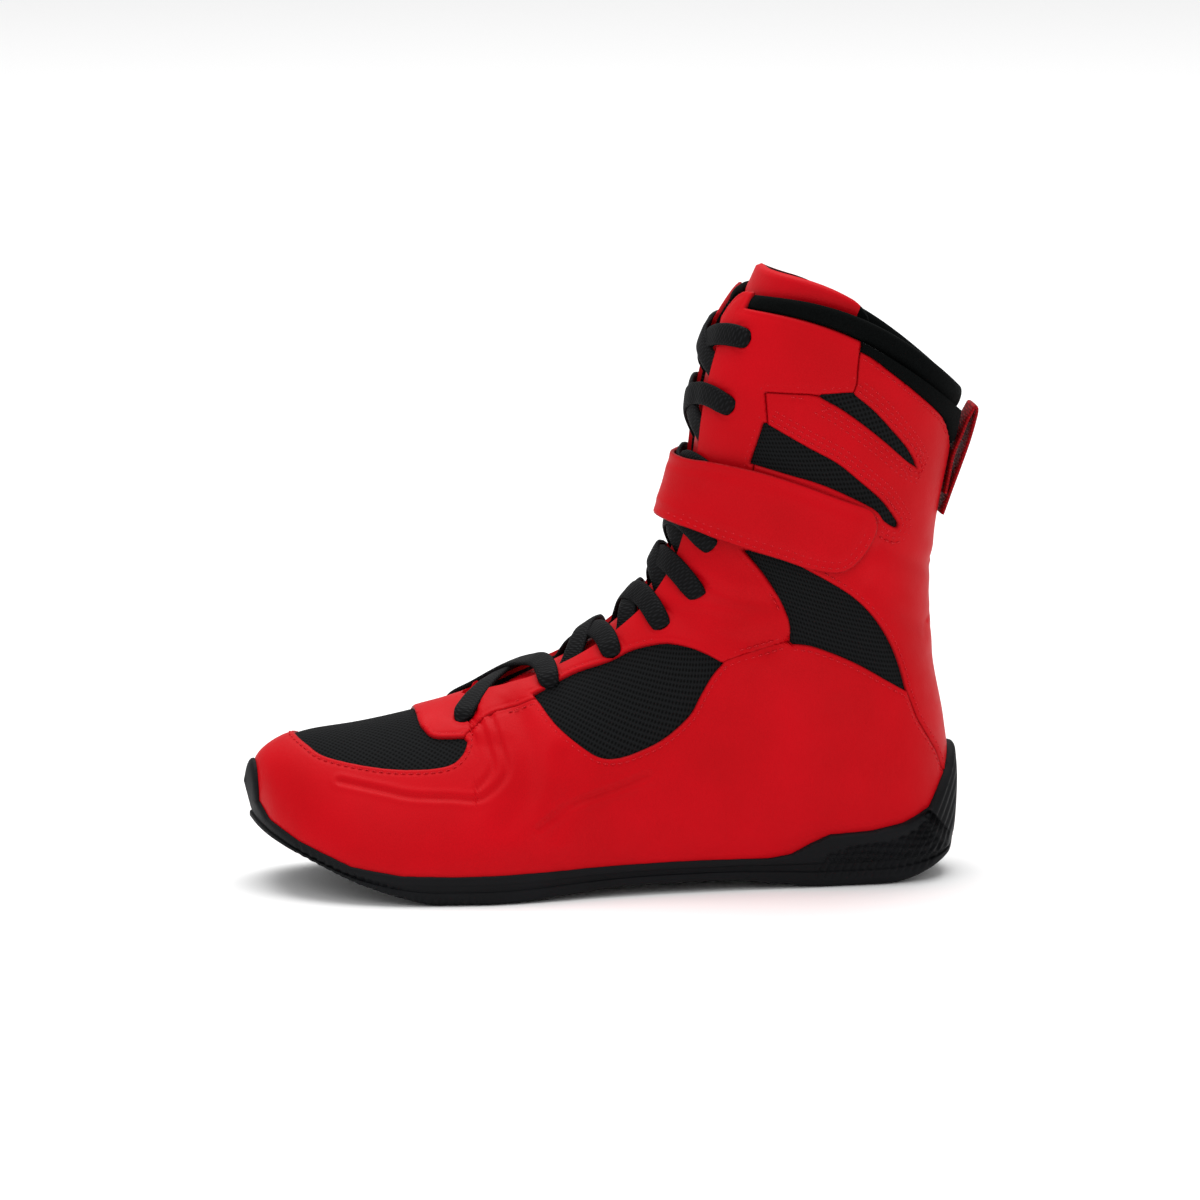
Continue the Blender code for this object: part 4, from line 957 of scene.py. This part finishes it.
def tongue_surface():
    """A padded leaf: rows v by a closed oval profile, whose share runs edge to edge and back inside.

    The profile is a flat oval: across = cos(turn) with square-shouldered thickness sin(turn), so the
    rim is a rolled edge; the top end closes over the last rows in the same way.
    """
    rows = even_rows((TONGUE_BOTTOM_ROW, TONGUE_TOP_ROW), TONGUE_STEP)
    turn = np.linspace(0, 2 * np.pi, 145)[:-1]
    v, angle = np.meshgrid(rows, turn, indexing="ij")
    across = np.sign(np.cos(angle)) * np.abs(np.cos(angle)) ** 0.9
    # The top corners are round: near the leaf's sides the rows end lower
    corner = rounding((1 - np.abs(across)) / 0.13)
    shrink = np.clip((v - TONGUE_SLOPE_ROW) / (TONGUE_TOP_ROW - TONGUE_SLOPE_ROW), 0, 1)
    v = v - (TONGUE_CORNER_DROP * (1 - corner) + TONGUE_SIDE_DROP * np.abs(across) ** 1.4) * shrink
    # The leaf has slumped to the inner side, so that half stands lower
    v = v - TONGUE_SLUMP * smooth_step((across - 0.05) / 0.6) * shrink
    edge = 0.5 * throat_share(v)
    t = 1 - (1 - edge) * np.abs(across)
    side = np.where(across < 0, -1.0, 1.0)
    end = rounding((rows[-1] - rows) / 0.16)[:, None] * 0.85 + 0.15
    thick = TONGUE_THICKNESS / 2 * np.abs(np.sin(angle)) ** 0.35 * np.sign(np.sin(angle)) * end
    centre = -curve(TONGUE_DEPTH, v) - TONGUE_THICKNESS / 2
    # Padding swells above the top edge of the cuff
    pad = TONGUE_PAD * smooth_step((v - 22.9) / 0.3) * rounding((1 - np.abs(across)) / 0.35)
    offset = centre + thick + np.where(np.sin(angle) > 0, pad, 0.3 * pad)
    points = skin(v, t, side, offset)
    rings, spokes = v.shape
    index = ring_index(rings, spokes)
    tri = grid_triangles(index)
    caps = []
    for ring, flip in ((index[0], False), (index[-1], True)):
        half = spokes // 2
        front = ring[:half + 1]
        behind = ring[half:spokes + 1][::-1]
        strip = grid_triangles(np.stack([front, behind]))
        caps.append(strip if flip else strip[:, ::-1])
    # The lining is turned over the rim at the two ends of the rolled top
    turned = np.where(np.abs(across) > 0.93, 0.5, -0.02)
    inner_face = (np.sin(angle) - turned).ravel()[tri].mean(axis=1) < 0
    face_material = np.concatenate([inner_face, np.zeros(sum(len(c) for c in caps), bool)]).astype(int)
    tri = np.concatenate([tri] + caps)
    # The rim is rolled and not cut, so it stays clear of the material's darker rim, the backing and painted
    # edge shade
    edge = (1 - np.abs(across)).ravel() * 40.0 + 2.0
    return points.reshape(-1, 3), tri, face_material, edge


points, tri, face_material, edge = tongue_surface()
tongue = add_mesh(
    "tongue_leaf", points, tri, (RED_TONGUE, LINING), face_material, fields={"edge": edge},
)
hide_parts("tongue")

# ---- Laces: flat woven cord run over the facings and down through the punched holes ----

LACE_WIDTH = 9.2
LACE_THICKNESS = 2.3
LACE_SEAT = EYESTAY_TOP + LACE_THICKNESS / 2 + 0.15
CROSS_LIFT = 0.95
# Along a strand: reach toward its upper hole, height over the last, width share, thickness share.
# It starts out of sight under the lower facing and ends down in the hole.
STRAND = (
    (-17.0, -2.6, 0.9, 0.8), (-14.0, -1.9, 0.95, 0.9), (-11.5, -0.6, 1.0, 1.0), (-8.0, 1.2, 1.0, 1.0),
    (-4.0, 2.2, 1.0, 1.0), (0.0, 2.5, 1.0, 1.0), (4.0, 2.7, 1.0, 1.0), (8.0, 2.7, 1.0, 1.0),
    (12.0, LACE_SEAT + 0.1, 1.0, 1.0), (16.0, LACE_SEAT + 0.1, 1.0, 1.05), (19.2, LACE_SEAT, 0.98, 1.1),
    (21.2, LACE_SEAT - 1.2, 0.88, 1.3), (21.8, 0.2, 0.72, 1.4), (21.6, -2.4, 0.6, 1.2),
)
FIRST_STRAND = (
    (-21.6, -2.4, 0.6, 1.2), (-21.8, 0.2, 0.72, 1.4), (-21.2, LACE_SEAT - 1.2, 0.88, 1.3),
    (-19.2, LACE_SEAT, 0.98, 1.1), (-16.0, LACE_SEAT + 0.1, 1.0, 1.05), (-12.0, LACE_SEAT + 0.1, 1.0, 1.0),
    (-8.0, 2.8, 1.0, 1.0), (-4.0, 2.7, 1.0, 1.0),
) + STRAND[5:]


def spline(values, q):
    """Catmull-Rom through evenly numbered values at the positions q."""
    i = np.clip(q.astype(int), 0, len(values) - 2)
    s = (q - i)[:, None]
    p0, p1 = values[np.maximum(i - 1, 0)], values[i]
    p2, p3 = values[i + 1], values[np.minimum(i + 2, len(values) - 1)]
    return 0.5 * (
        2 * p1 + (p2 - p0) * s + (2 * p0 - 5 * p1 + 4 * p2 - p3) * s ** 2
        + (3 * p1 - p0 - 3 * p2 + p3) * s ** 3
    )


def swept(path, up, wide, thick, spokes=18, square=0.62):
    """A flat oval carried along a path: width across it, thickness along up; closed by fans at both ends."""
    ahead = unit(np.gradient(path, axis=0))
    beam = unit(np.cross(ahead, up))
    lift = np.cross(beam, ahead)
    turn = np.linspace(0, 2 * np.pi, spokes, endpoint=False)
    c, s = np.cos(turn), np.sin(turn)
    c, s = np.sign(c) * np.abs(c) ** square, np.sign(s) * np.abs(s) ** square
    points = (
        path[:, None] + beam[:, None] * (wide[:, None, None] / 2 * c[None, :, None])
        + lift[:, None] * (thick[:, None, None] / 2 * s[None, :, None])
    )
    rings = len(path)
    travel = travelled(path)
    u = np.repeat(travel, spokes)
    w = np.tile(np.abs(np.linspace(-1, 1, spokes, endpoint=False)), rings) * np.repeat(wide, spokes)
    uv = np.stack([np.concatenate([u, [0, travel[-1]]]), np.concatenate([w, [0, 0]])], axis=1)
    return np.concatenate([points.reshape(-1, 3), path[:1], path[-1:]]), capped_tube(rings, spokes), uv


def join(parts):
    """Several (points, triangles) as one pair of arrays."""
    counts = np.cumsum([0] + [len(points) for points, _ in parts])
    points = np.concatenate([points for points, _ in parts])
    return points, np.concatenate([tri + count for (_, tri), count in zip(parts, counts)])


def lace_strand(low, high, side, table, over, bend, meeting):
    """One crossing between two (row, reach) holes; the upper of two crossing strands is lifted.

    The row goes from the low to the high hole as 1 - (1 - share of the way across)^bend, and the lift is
    a bell round the reach where the two strands meet.
    """
    (low_row, low_reach), (high_row, high_reach) = low, high
    table = np.array(table)
    reach = table[:, 0] * side * np.where(table[:, 0] < 0, low_reach, high_reach) / HOLE_REACH
    across = np.clip((table[:, 0] + HOLE_REACH) / (2 * HOLE_REACH), 0, 1)
    v = low_row + (high_row - low_row) * (1 - (1 - across) ** bend)
    lift = CROSS_LIFT if over else -CROSS_LIFT * 0.55
    height = table[:, 1] + lift * np.exp(-((table[:, 0] - meeting) / 5.5) ** 2)
    t = np.where(np.abs(reach) < 0.01, 1.0, share_at(v, np.abs(reach)))
    hand = np.where(reach > 0, 1.0, -1.0)
    nodes = np.concatenate([skin(v, t, hand, height), outward(v, t, hand), table[:, 2:]], axis=1)
    smooth = spline(nodes, np.linspace(0, len(table) - 1.001, 74))
    path, up, wide, thick = smooth[:, :3], unit(smooth[:, 3:6]), smooth[:, 6], smooth[:, 7]
    return swept(path, up, LACE_WIDTH * wide, LACE_THICKNESS * thick)


strands = []
holes = list(zip(HOLE_ROWS, HOLE_REACHES))
for k, (low, high) in enumerate(zip(holes, holes[1:])):
    for side in (-1, 1):
        over = (side < 0) == (k % 2 == 0)
        if k:
            # These climb early and then run almost straight across to their upper holes
            strands.append(lace_strand(low, high, side, STRAND, over, 1.8, 0.0))
        else:
            # The first two meet over the inner half of the throat
            strands.append(lace_strand(low, high, side, FIRST_STRAND, over, 1.7 - 0.9 * side, 8.0 * side))
points, tri = join([strand[:2] for strand in strands])
uv = np.concatenate([strand[2] for strand in strands])[tri.ravel()]
laces = add_mesh("laces_woven", points, tri, (LACE_TAPE,), uv=uv, sharp=80.0)
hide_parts("laces")

# ---- Ankle strap ----

STRAP_SPREAD = ((12.0, 6.0), (15.0, 5.0), (17.5, 3.0), (19.0, 2.7))
STRAP_LOW_EDGE = (
    (38.2, 145.0), (50.8, 141.5), (67.2, 136.0), (77.2, 132.0), (88.0, 129.8), (95.0, 132.0),
    (101.0, 139.0), (104.5, 147.0),
)
STRAP_OUTLINE = rounded_outline(((8.0, 151.0), (21.3, 150.0), (27.6, 147.4)) + STRAP_LOW_EDGE + (
    (103.5, 153.0), (100.5, 156.0), (90.0, 160.0), (77.0, 165.2), (66.0, 169.2), (55.0, 172.3),
    (44.0, 173.8), (34.0, 173.4), (8.0, 174.6),
), (0, 19))


def strap_rise(v, t):
    """Height of the strap's face over the last: near the side, and farther out over the laces."""
    return STRAP_SIDE + curve(STRAP_SPREAD, v) * smooth_step((t - 0.52) / 0.22)


strap_patch = settle(skin_patch((10.3, HEEL_ROW, 22.1), STRAP_STEP, high=to_crest))
strap_patch = trim(strap_patch, within(strap_patch, STRAP_OUTLINE))
strap_top = strap_rise(strap_patch["v"], strap_patch["t"])
strap_round = 0.45 * (1 - rounding(strap_patch["edge"] / 1.2))
# The band is lined and pressed, so its middle stands a little over its sewn edges
strap_crown = 0.45 * smooth_step((strap_patch["edge"] - 3.2) / 4.0)
strap = coat(
    "ankle_strap_red", strap_patch, strap_top - strap_round + strap_crown,
    strap_top - STRAP_THICKNESS + strap_round, (RED,),
)
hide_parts("ankle_strap")

# ---- Pull loop: a folded tape behind the cuff ----

LOOP_PATH = (
    (138.4, 156.0), (139.8, 163.0), (141.1, 170.0), (142.7, 175.0), (144.9, 180.0), (147.1, 185.5),
    (149.3, 189.8), (150.4, 191.4), (151.2, 190.2),
    (150.4, 186.0), (148.0, 177.6), (144.7, 168.2), (141.0, 158.2), (138.3, 150.6), (137.2, 147.6),
)
loop_nodes = np.array([(x, 0.0, z) for x, z in LOOP_PATH])
LOOP_STATIONS = 90
LOOP_TAPE_THICKNESS = 1.5
loop_path = spline(loop_nodes, np.linspace(0, len(loop_nodes) - 1.001, LOOP_STATIONS))
loop_ahead = unit(np.gradient(loop_path, axis=0))
loop_up = np.cross(loop_ahead, np.array([0.0, 1.0, 0.0]))
points, tri, uv = swept(
    loop_path, loop_up, np.full(LOOP_STATIONS, 2 * LOOP_HALF_WIDTH),
    np.full(LOOP_STATIONS, LOOP_TAPE_THICKNESS), spokes=40, square=0.35,
)
loop = add_mesh("pull_loop_tape", points, tri, (LOOP_TAPE,), uv=uv[tri.ravel()], sharp=60.0)
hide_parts("pull_loop")

# ---- Outsole ----

GROOVE_PLACES = (-114.0, -104.0, -94.0, -84.0, -40.0, -30.0, 74.0, 119.0)
RIB_PITCH = 3.3
RIB_SLOPE = 0.5
RIB_DEPTH = 0.75
RIB_AREA = rounded_outline((
    (80.0, 4.5), (84.0, 13.5), (96.0, 18.0), (114.0, 20.5), (126.0, 27.0), (134.0, 40.0), (139.0, 50.0),
    (144.0, 48.0), (142.0, 20.0), (130.0, 6.5), (112.0, 3.5), (92.0, 3.2),
), (6, 7))
SERRATION_PITCH = 3.0
SERRATION_DEPTH = 0.6
CHEVRON_PITCH = 6.4
CHEVRON_DEPTH = 0.55
CHEVRON_SLOPE = 0.6


def tread_relief(points):
    """Slanted ribs on the heel's side: a squared wave of x less slope times z, faded in over their area."""
    x, z = points[:, 0], points[:, 2]
    distance, _ = nearest(RIB_AREA, x, z, True)
    area = smooth_step(np.where(is_inside(RIB_AREA, x, z), distance, 0.0) / 1.6)
    wave = np.sin(2 * np.pi * (x - RIB_SLOPE * z) / RIB_PITCH)
    ribs = -RIB_DEPTH * smooth_step(0.5 + 0.6 * wave) * area
    # Short teeth along the forefoot's ground edge
    ground = curve(UNDERSIDE, x)
    forefoot = smooth_step((x + 132.0) / 6.0) * smooth_step((-52.0 - x) / 8.0)
    low = smooth_step((4.6 - (z - ground)) / 1.6) * forefoot
    teeth = -SERRATION_DEPTH * smooth_step(0.5 + 0.9 * np.sin(2 * np.pi * x / SERRATION_PITCH)) * low
    return ribs + teeth


def rim_thickness(v):
    """Rubber outside the last: thicker at the toe guard and round the heel cup."""
    toe = np.clip(1 - v / SPRUNG_ROWS, 0, 1)
    heel = np.where(v > 11.0, rounding((v - 11.0) / 3.5), 0.0)
    return RIM_SIDE + (RIM_TOE - RIM_SIDE) * toe + (RIM_HEEL - RIM_SIDE) * heel


# Side of the sole from the feather line down: share of the height above ground, and how far the
# rubber stands in from its full reach there; the dip near the top is the moulded step
SOLE_SIDE = (
    (1.0, 0.5), (0.9, 0.6), (0.78, 0.8), (0.70, 0.95), (0.66, 0.85), (0.63, 0.3), (0.60, 0.05),
    (0.54, 0.0), (0.44, 0.0), (0.34, 0.0), (0.26, 0.12), (0.19, 0.4), (0.12, 0.9), (0.07, 1.5),
    (0.03, 2.3), (0.0, UNDERCUT),
)


def sole_piece():
    """Rim and guards as a patch of the last's skin, the side as rows by profile, the tread across."""
    rim = settle(skin_patch((0.0, HEEL_ROW, RUBBER_LAST_ROW), SOLE_STEP))
    rim = trim(rim, within(rim, BELOW_RUBBER))
    full = rim_thickness(rim["v"]) - 0.5
    top = OVERLAY_TOP + (full - OVERLAY_TOP) * (0.25 + 0.75 * rounding(rim["edge"] / 2.4))
    outer = rim["at"] + rim["normal"] * top[:, None]
    outer += rim["normal"] * tread_relief(outer)[:, None]
    inner = rim["at"]
    count = len(outer)
    tri = rim["tri"]
    # No wall along the feather line, where the side of the sole joins on
    bottom = (rim["t"] < 1e-9) & (rim["v"] < HEEL_ROW + 1e-9)
    ends = rim_edges(tri, count)
    ends = ends[~bottom[ends].all(axis=1)]
    shells = [(np.concatenate([outer, inner]), two_faced(tri, count, ends))]
    rows = even_rows((0.0, HEEL_ROW), SOLE_STEP)
    share, inset = np.array(SOLE_SIDE).T
    edges, beds = {}, {}
    for side in (-1, 1):
        foot = last(rows, 0.0, side)
        out = feather_normal(rows, side)
        reach = rim_thickness(rows)[:, None] - inset[None, :]
        ground = curve(UNDERSIDE, (foot + out * (rim_thickness(rows) - UNDERCUT)[:, None])[:, 0])
        wall = foot[:, None, :] + out[:, None, :] * reach[..., None]
        wall[..., 2] = ground[:, None] + (foot[:, 2] - ground)[:, None] * share[None, :]
        flat = wall.reshape(-1, 3)
        wall = wall + out[:, None, :] * tread_relief(flat).reshape(wall.shape[:2])[..., None]
        wall[:, 0] = outer_row(rows, side)
        faces = sheet_triangles(wall)
        shells.append((wall.reshape(-1, 3), faces if side < 0 else faces[:, ::-1]))
        edges[side] = wall[:, -1]
        beds[side] = foot
    for sides, turn in ((edges, 1), (beds, -1)):
        s = np.linspace(0, 1, 57 if turn > 0 else 9)[None, :, None]
        sheet = sides[-1][:, None] * (1 - s) + sides[1][:, None] * s
        if turn > 0:
            x = sheet[..., 0]
            cuts = sum(np.exp(-((x - place) / 1.3) ** 2) for place in GROOVE_PLACES)
            inside = smooth_step(np.minimum(s[..., 0], 1 - s[..., 0]) / 0.03)
            # Chevrons across the tread: a squared wave of x plus a share of the distance off the middle line
            chevron = np.sin(2 * np.pi * (x + CHEVRON_SLOPE * np.abs(sheet[..., 1])) / CHEVRON_PITCH)
            sheet[..., 2] += (1.3 * cuts + CHEVRON_DEPTH * smooth_step(0.5 + 0.7 * chevron)) * inside
        shells.append((sheet.reshape(-1, 3), sheet_triangles(sheet)[:, ::turn]))
    return shells


def outer_row(rows, side):
    """Lowest row of the rim's outer face, where the side wall joins it."""
    thickness = rim_thickness(rows) - 0.5
    top = skin(rows, 0.0, side, thickness)
    return top + outward(rows, 0.0, side) * tread_relief(top)[:, None]


points, tri = welded(*join(sole_piece()))
outsole = add_mesh("outsole_rubber", points, tri, (RUBBER,), sharp=42.0)
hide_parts("outsole")

# ---- Footbed ----

FOOTBED_INSET = 2.7
FOOTBED_THICKNESS = 4.0
FOOTBED_END_ROW = 14.4


def footbed_surface():
    """A foam board inside the bottom edge: across from side to side, lifted to a rim like a shallow dish."""
    rows = even_rows((0.0, FOOTBED_END_ROW), FOOTBED_STEP)
    near = last(rows, 0.0, -1) - feather_normal(rows, -1) * FOOTBED_INSET
    far = last(rows, 0.0, 1) - feather_normal(rows, 1) * FOOTBED_INSET
    near[0] = far[0] = (near[0] + far[0]) / 2
    s = np.linspace(0, 1, 45)
    sheet = near[:, None] * (1 - s[None, :, None]) + far[:, None] * s[None, :, None]
    dish = FOOTBED_THICKNESS - 0.7 * rounding(2 * np.minimum(s, 1 - s))
    top = sheet.copy()
    top[..., 2] += dish[None, :] - 0.05
    top[0, :, 2] = top[0, 0, 2]
    low = sheet.copy()
    low[..., 2] += 0.1
    faces = sheet_triangles(top)[:, ::-1]
    count = top.shape[0] * top.shape[1]
    tri = two_faced(faces, count, rim_edges(faces, count))
    return np.concatenate([top.reshape(-1, 3), low.reshape(-1, 3)]), tri


points, tri = welded(*footbed_surface())
footbed = add_mesh("footbed_foam", points, tri, (LINING,), sharp=40.0)
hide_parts("insole")

# ---- Thread ----

STITCH_PITCH = 3.0
STITCH_LENGTH = 2.2
THREAD_THICK = 0.55
# Every fifth grid point of each half, as starting places for seen_at()
starts = {}
for side in (-1, 1):
    keep = np.flatnonzero(layer["side"] != -side)[::5]
    starts[side] = layer["v"][keep], layer["t"][keep], layer["at"][keep][:, [0, 2]]


def seen_at(x, z, side):
    """Row and share of the points seen at x, z on one half: the nearest grid point, then Newton's steps."""
    rows, shares, places = starts[side]
    target = np.stack([x, z], axis=1)
    best = ((target[:, None, :] - places[None]) ** 2).sum(axis=2).argmin(axis=1)
    v, t = rows[best].copy(), shares[best].copy()
    for _ in range(6):
        here = last(v, t, side)[:, [0, 2]]
        by_v = (last(np.minimum(v + 0.01, LAST_ROW), t, side)[:, [0, 2]] - here) / 0.01
        by_t = (last(v, np.minimum(t + 0.001, 1.0), side)[:, [0, 2]] - here) / 0.001
        gap = target - here
        area = by_v[:, 0] * by_t[:, 1] - by_v[:, 1] * by_t[:, 0]
        area = np.where(np.abs(area) < 1e-3, 1e9, area)
        more_v = (gap[:, 0] * by_t[:, 1] - gap[:, 1] * by_t[:, 0]) / area
        more_t = (by_v[:, 0] * gap[:, 1] - by_v[:, 1] * gap[:, 0]) / area
        v = np.clip(v + np.clip(more_v, -0.2, 0.2), 0, LAST_ROW)
        t = np.clip(t + np.clip(more_t, -0.04, 0.04), 0, 1)
    return v, t


def seam_run(line, inset, side, lift, allowed):
    """Stitches along a side-view line, moved inset to its left over the surface, where allowed says so."""
    v, t = seen_at(line[:, 0], line[:, 1], side)
    path, normal = last(v, t, side), outward(v, t, side)
    beam = unit(np.cross(normal, unit(np.gradient(path, axis=0)))) * side
    moved = path - beam * inset
    v, t = seen_at(moved[:, 0], moved[:, 2], side)
    travel = travelled(last(v, t, side))
    middle = np.arange(STITCH_PITCH, travel[-1] - STITCH_PITCH, STITCH_PITCH)
    if len(middle) == 0:
        return []
    patch = settle({
        "v": np.interp(middle, travel, v), "t": np.interp(middle, travel, t),
        "side": np.full(len(middle), side),
    })
    runs = []
    for k in np.flatnonzero(allowed(patch)):
        ends = middle[k] + np.linspace(-0.5, 0.5, 5) * STITCH_LENGTH
        pv, pt = np.interp(ends, travel, v), np.interp(ends, travel, t)
        # A bead whose middle lies on the face and whose ends go down into it
        arch = 1 - np.abs(np.linspace(-1, 1, 5)) ** 2.5
        runs.append((pv, pt, np.full(5, float(side)), lift - 0.38 + 0.32 * arch))
    return runs


def thread_piece(name, runs, material):
    """All stitches as one mesh: a six-sided bead for each, round at its ends."""
    pv, pt, ps, height = (np.array([run[k] for run in runs]) for k in range(4))
    path = skin(pv, pt, ps, height)
    up = outward(pv, pt, ps)
    ahead = unit(np.gradient(path, axis=1))
    beam = unit(np.cross(ahead, up))
    lift = np.cross(beam, ahead)
    turn = np.linspace(0, 2 * np.pi, 6, endpoint=False)
    size = THREAD_THICK / 2 * np.array([0.45, 0.95, 1.0, 0.95, 0.45])[None, :, None, None]
    c, s = np.cos(turn)[None, None, :, None], np.sin(turn)[None, None, :, None]
    points = path[:, :, None] + (beam[:, :, None] * c + lift[:, :, None] * s) * size
    caps = [[0, k + 1, k] for k in range(1, 5)] + [[24, 24 + k, 25 + k] for k in range(1, 5)]
    bead = np.concatenate([grid_triangles(ring_index(5, 6)), np.array(caps)])[:, ::-1]
    tri = (bead[None] + 30 * np.arange(len(runs))[:, None, None]).reshape(-1, 3)
    along = np.broadcast_to(np.linspace(0, STITCH_LENGTH, 5)[None, :, None], points.shape[:3])
    round_it = np.broadcast_to(turn[None, None, :] * 0.3, points.shape[:3])
    uv = np.stack([along, round_it], axis=-1).reshape(-1, 2)
    return add_mesh(name, points.reshape(-1, 3), tri, (material,), uv=uv[tri.ravel()], sharp=80.0)


def clear_of_edges(patch):
    """True where a stitch lies inside one red piece, off its edges and holes and clear of the strap."""
    whole, eyestay_in, shaft_in, holes = overlay_fields(patch)
    joins = np.minimum(np.abs(eyestay_in), np.abs(shaft_in))
    strap_gap = -within(patch, STRAP_OUTLINE)
    inside = (np.minimum(whole, joins) > 1.4) & (whole - UNDER_RUBBER > -0.3)
    return inside & (holes > 1.0) & (strap_gap > 0.5)


def closed(line):
    """A closed outline with its first point again at the end."""
    return np.vstack([line, line[:1]])


# Each seam as its line and its inset: one row beside every edge, and two more along the upper windows
seams = [(closed(window), turn * STITCH_INSET) for window in WINDOWS for turn in (1, -1)]
seams += [
    (closed(window), turn * inset)
    for window in (MIDDLE_WINDOW, TOP_WINDOW) for turn in (1, -1) for inset in (4.2, 6.3)
]
seams += [
    (rounded_outline(join_line, closed=False), turn * STITCH_INSET)
    for join_line in (FACING_FRONT, FACING_ANKLE, FACING_STRAP, FACING_SHAFT[:3], HEEL_SEAM, CUFF_LINE)
    for turn in (1, -1)
]
runs = []
for side in (-1, 1):
    for line, inset in seams:
        runs += seam_run(line, inset, side, OVERLAY_TOP + 0.1, clear_of_edges)
thread_piece("overlay_stitches", runs, THREAD)

def on_strap(patch):
    """True inside the strap's outline."""
    return within(patch, STRAP_OUTLINE) > 1.2


def strap_runs(line, inset, side):
    """Stitches on the strap's own face."""
    return [
        (pv, pt, ps, height + strap_rise(pv, pt) + 0.05)
        for pv, pt, ps, height in seam_run(line, inset, side, 0.0, on_strap)
    ]


strap_edge = rounded_outline(((30.0, 148.2),) + STRAP_LOW_EDGE, closed=False)
runs = []
for side in (-1, 1):
    for inset in (1.9, 4.4):
        for turn in (1, -1):
            runs += strap_runs(strap_edge, turn * inset, side)
thread_piece("strap_stitches", runs, THREAD)

# ---- Floor, light and camera ----

PHOTO_WIDTH = 1200
PX_PER_MM = 2.47
AZIMUTH, ELEVATION = -8.0, 10.0
DISTANCE = 4.0
AIM = (-4.9 * MM, 0.0, 114.6 * MM)


def add_camera():
    """A long lens on the photo's line of sight; the field is the photo's width over its scale."""
    data = bpy.data.cameras.new("photo_camera")
    camera = bpy.data.objects.new("photo_camera", data)
    bpy.context.scene.collection.objects.link(camera)
    turn, rise = np.radians(AZIMUTH), np.radians(ELEVATION)
    back = np.array([np.sin(turn) * np.cos(rise), -np.cos(turn) * np.cos(rise), np.sin(rise)])
    camera.location = np.array(AIM) + back * DISTANCE
    camera.rotation_euler = (np.pi / 2 - rise, 0.0, turn)
    data.sensor_width = 36.0
    data.lens = 36.0 * DISTANCE / (PHOTO_WIDTH / PX_PER_MM * MM)
    data.clip_end = 30.0
    bpy.context.scene.camera = camera


add_camera()

floor_mesh = bpy.data.meshes.new("floor")
floor_mesh.from_pydata([(-6, -6, 0), (6, -6, 0), (6, 6, 0), (-6, 6, 0)], [], [(0, 1, 2, 3)])
floor = bpy.data.objects.new("floor", floor_mesh)
bpy.context.scene.collection.objects.link(floor)
# Matt painted board, almost white
floor_material = new_material("painted_board_white", Base_Color=linear("#FAFAFA"), Roughness=0.9)[0]
floor_mesh.materials.append(floor_material)


LIGHT_AIM = (0.0, 0.0, 0.1)


def add_area(name, place, size, power):
    """A white square soft box that faces the boot."""
    data = bpy.data.lights.new(name, "AREA")
    data.size = size
    data.energy = power
    light = bpy.data.objects.new(name, data)
    bpy.context.scene.collection.objects.link(light)
    away = unit(np.array(place) - np.array(LIGHT_AIM))
    light.location = place
    light.rotation_euler = (np.arccos(away[2]), 0.0, np.arctan2(away[1], away[0]) + np.pi / 2)


# Name, place, width and watts
add_area("key", (-1.2, -2.2, 2.2), 1.6, 13.0)
add_area("fill", (1.9, -1.9, 1.0), 1.8, 2.0)
add_area("top", (0.0, 0.6, 3.0), 3.0, 95.0)
world = bpy.data.worlds.new("studio")
world.use_nodes = True
world.node_tree.nodes["Background"].inputs["Color"].default_value = linear("#FFFFFF")
world.node_tree.nodes["Background"].inputs["Strength"].default_value = 0.63
bpy.context.scene.world = world
# The photo is a plain sRGB picture, and the default view transform turns this red pale
bpy.context.scene.view_settings.view_transform = "Standard"
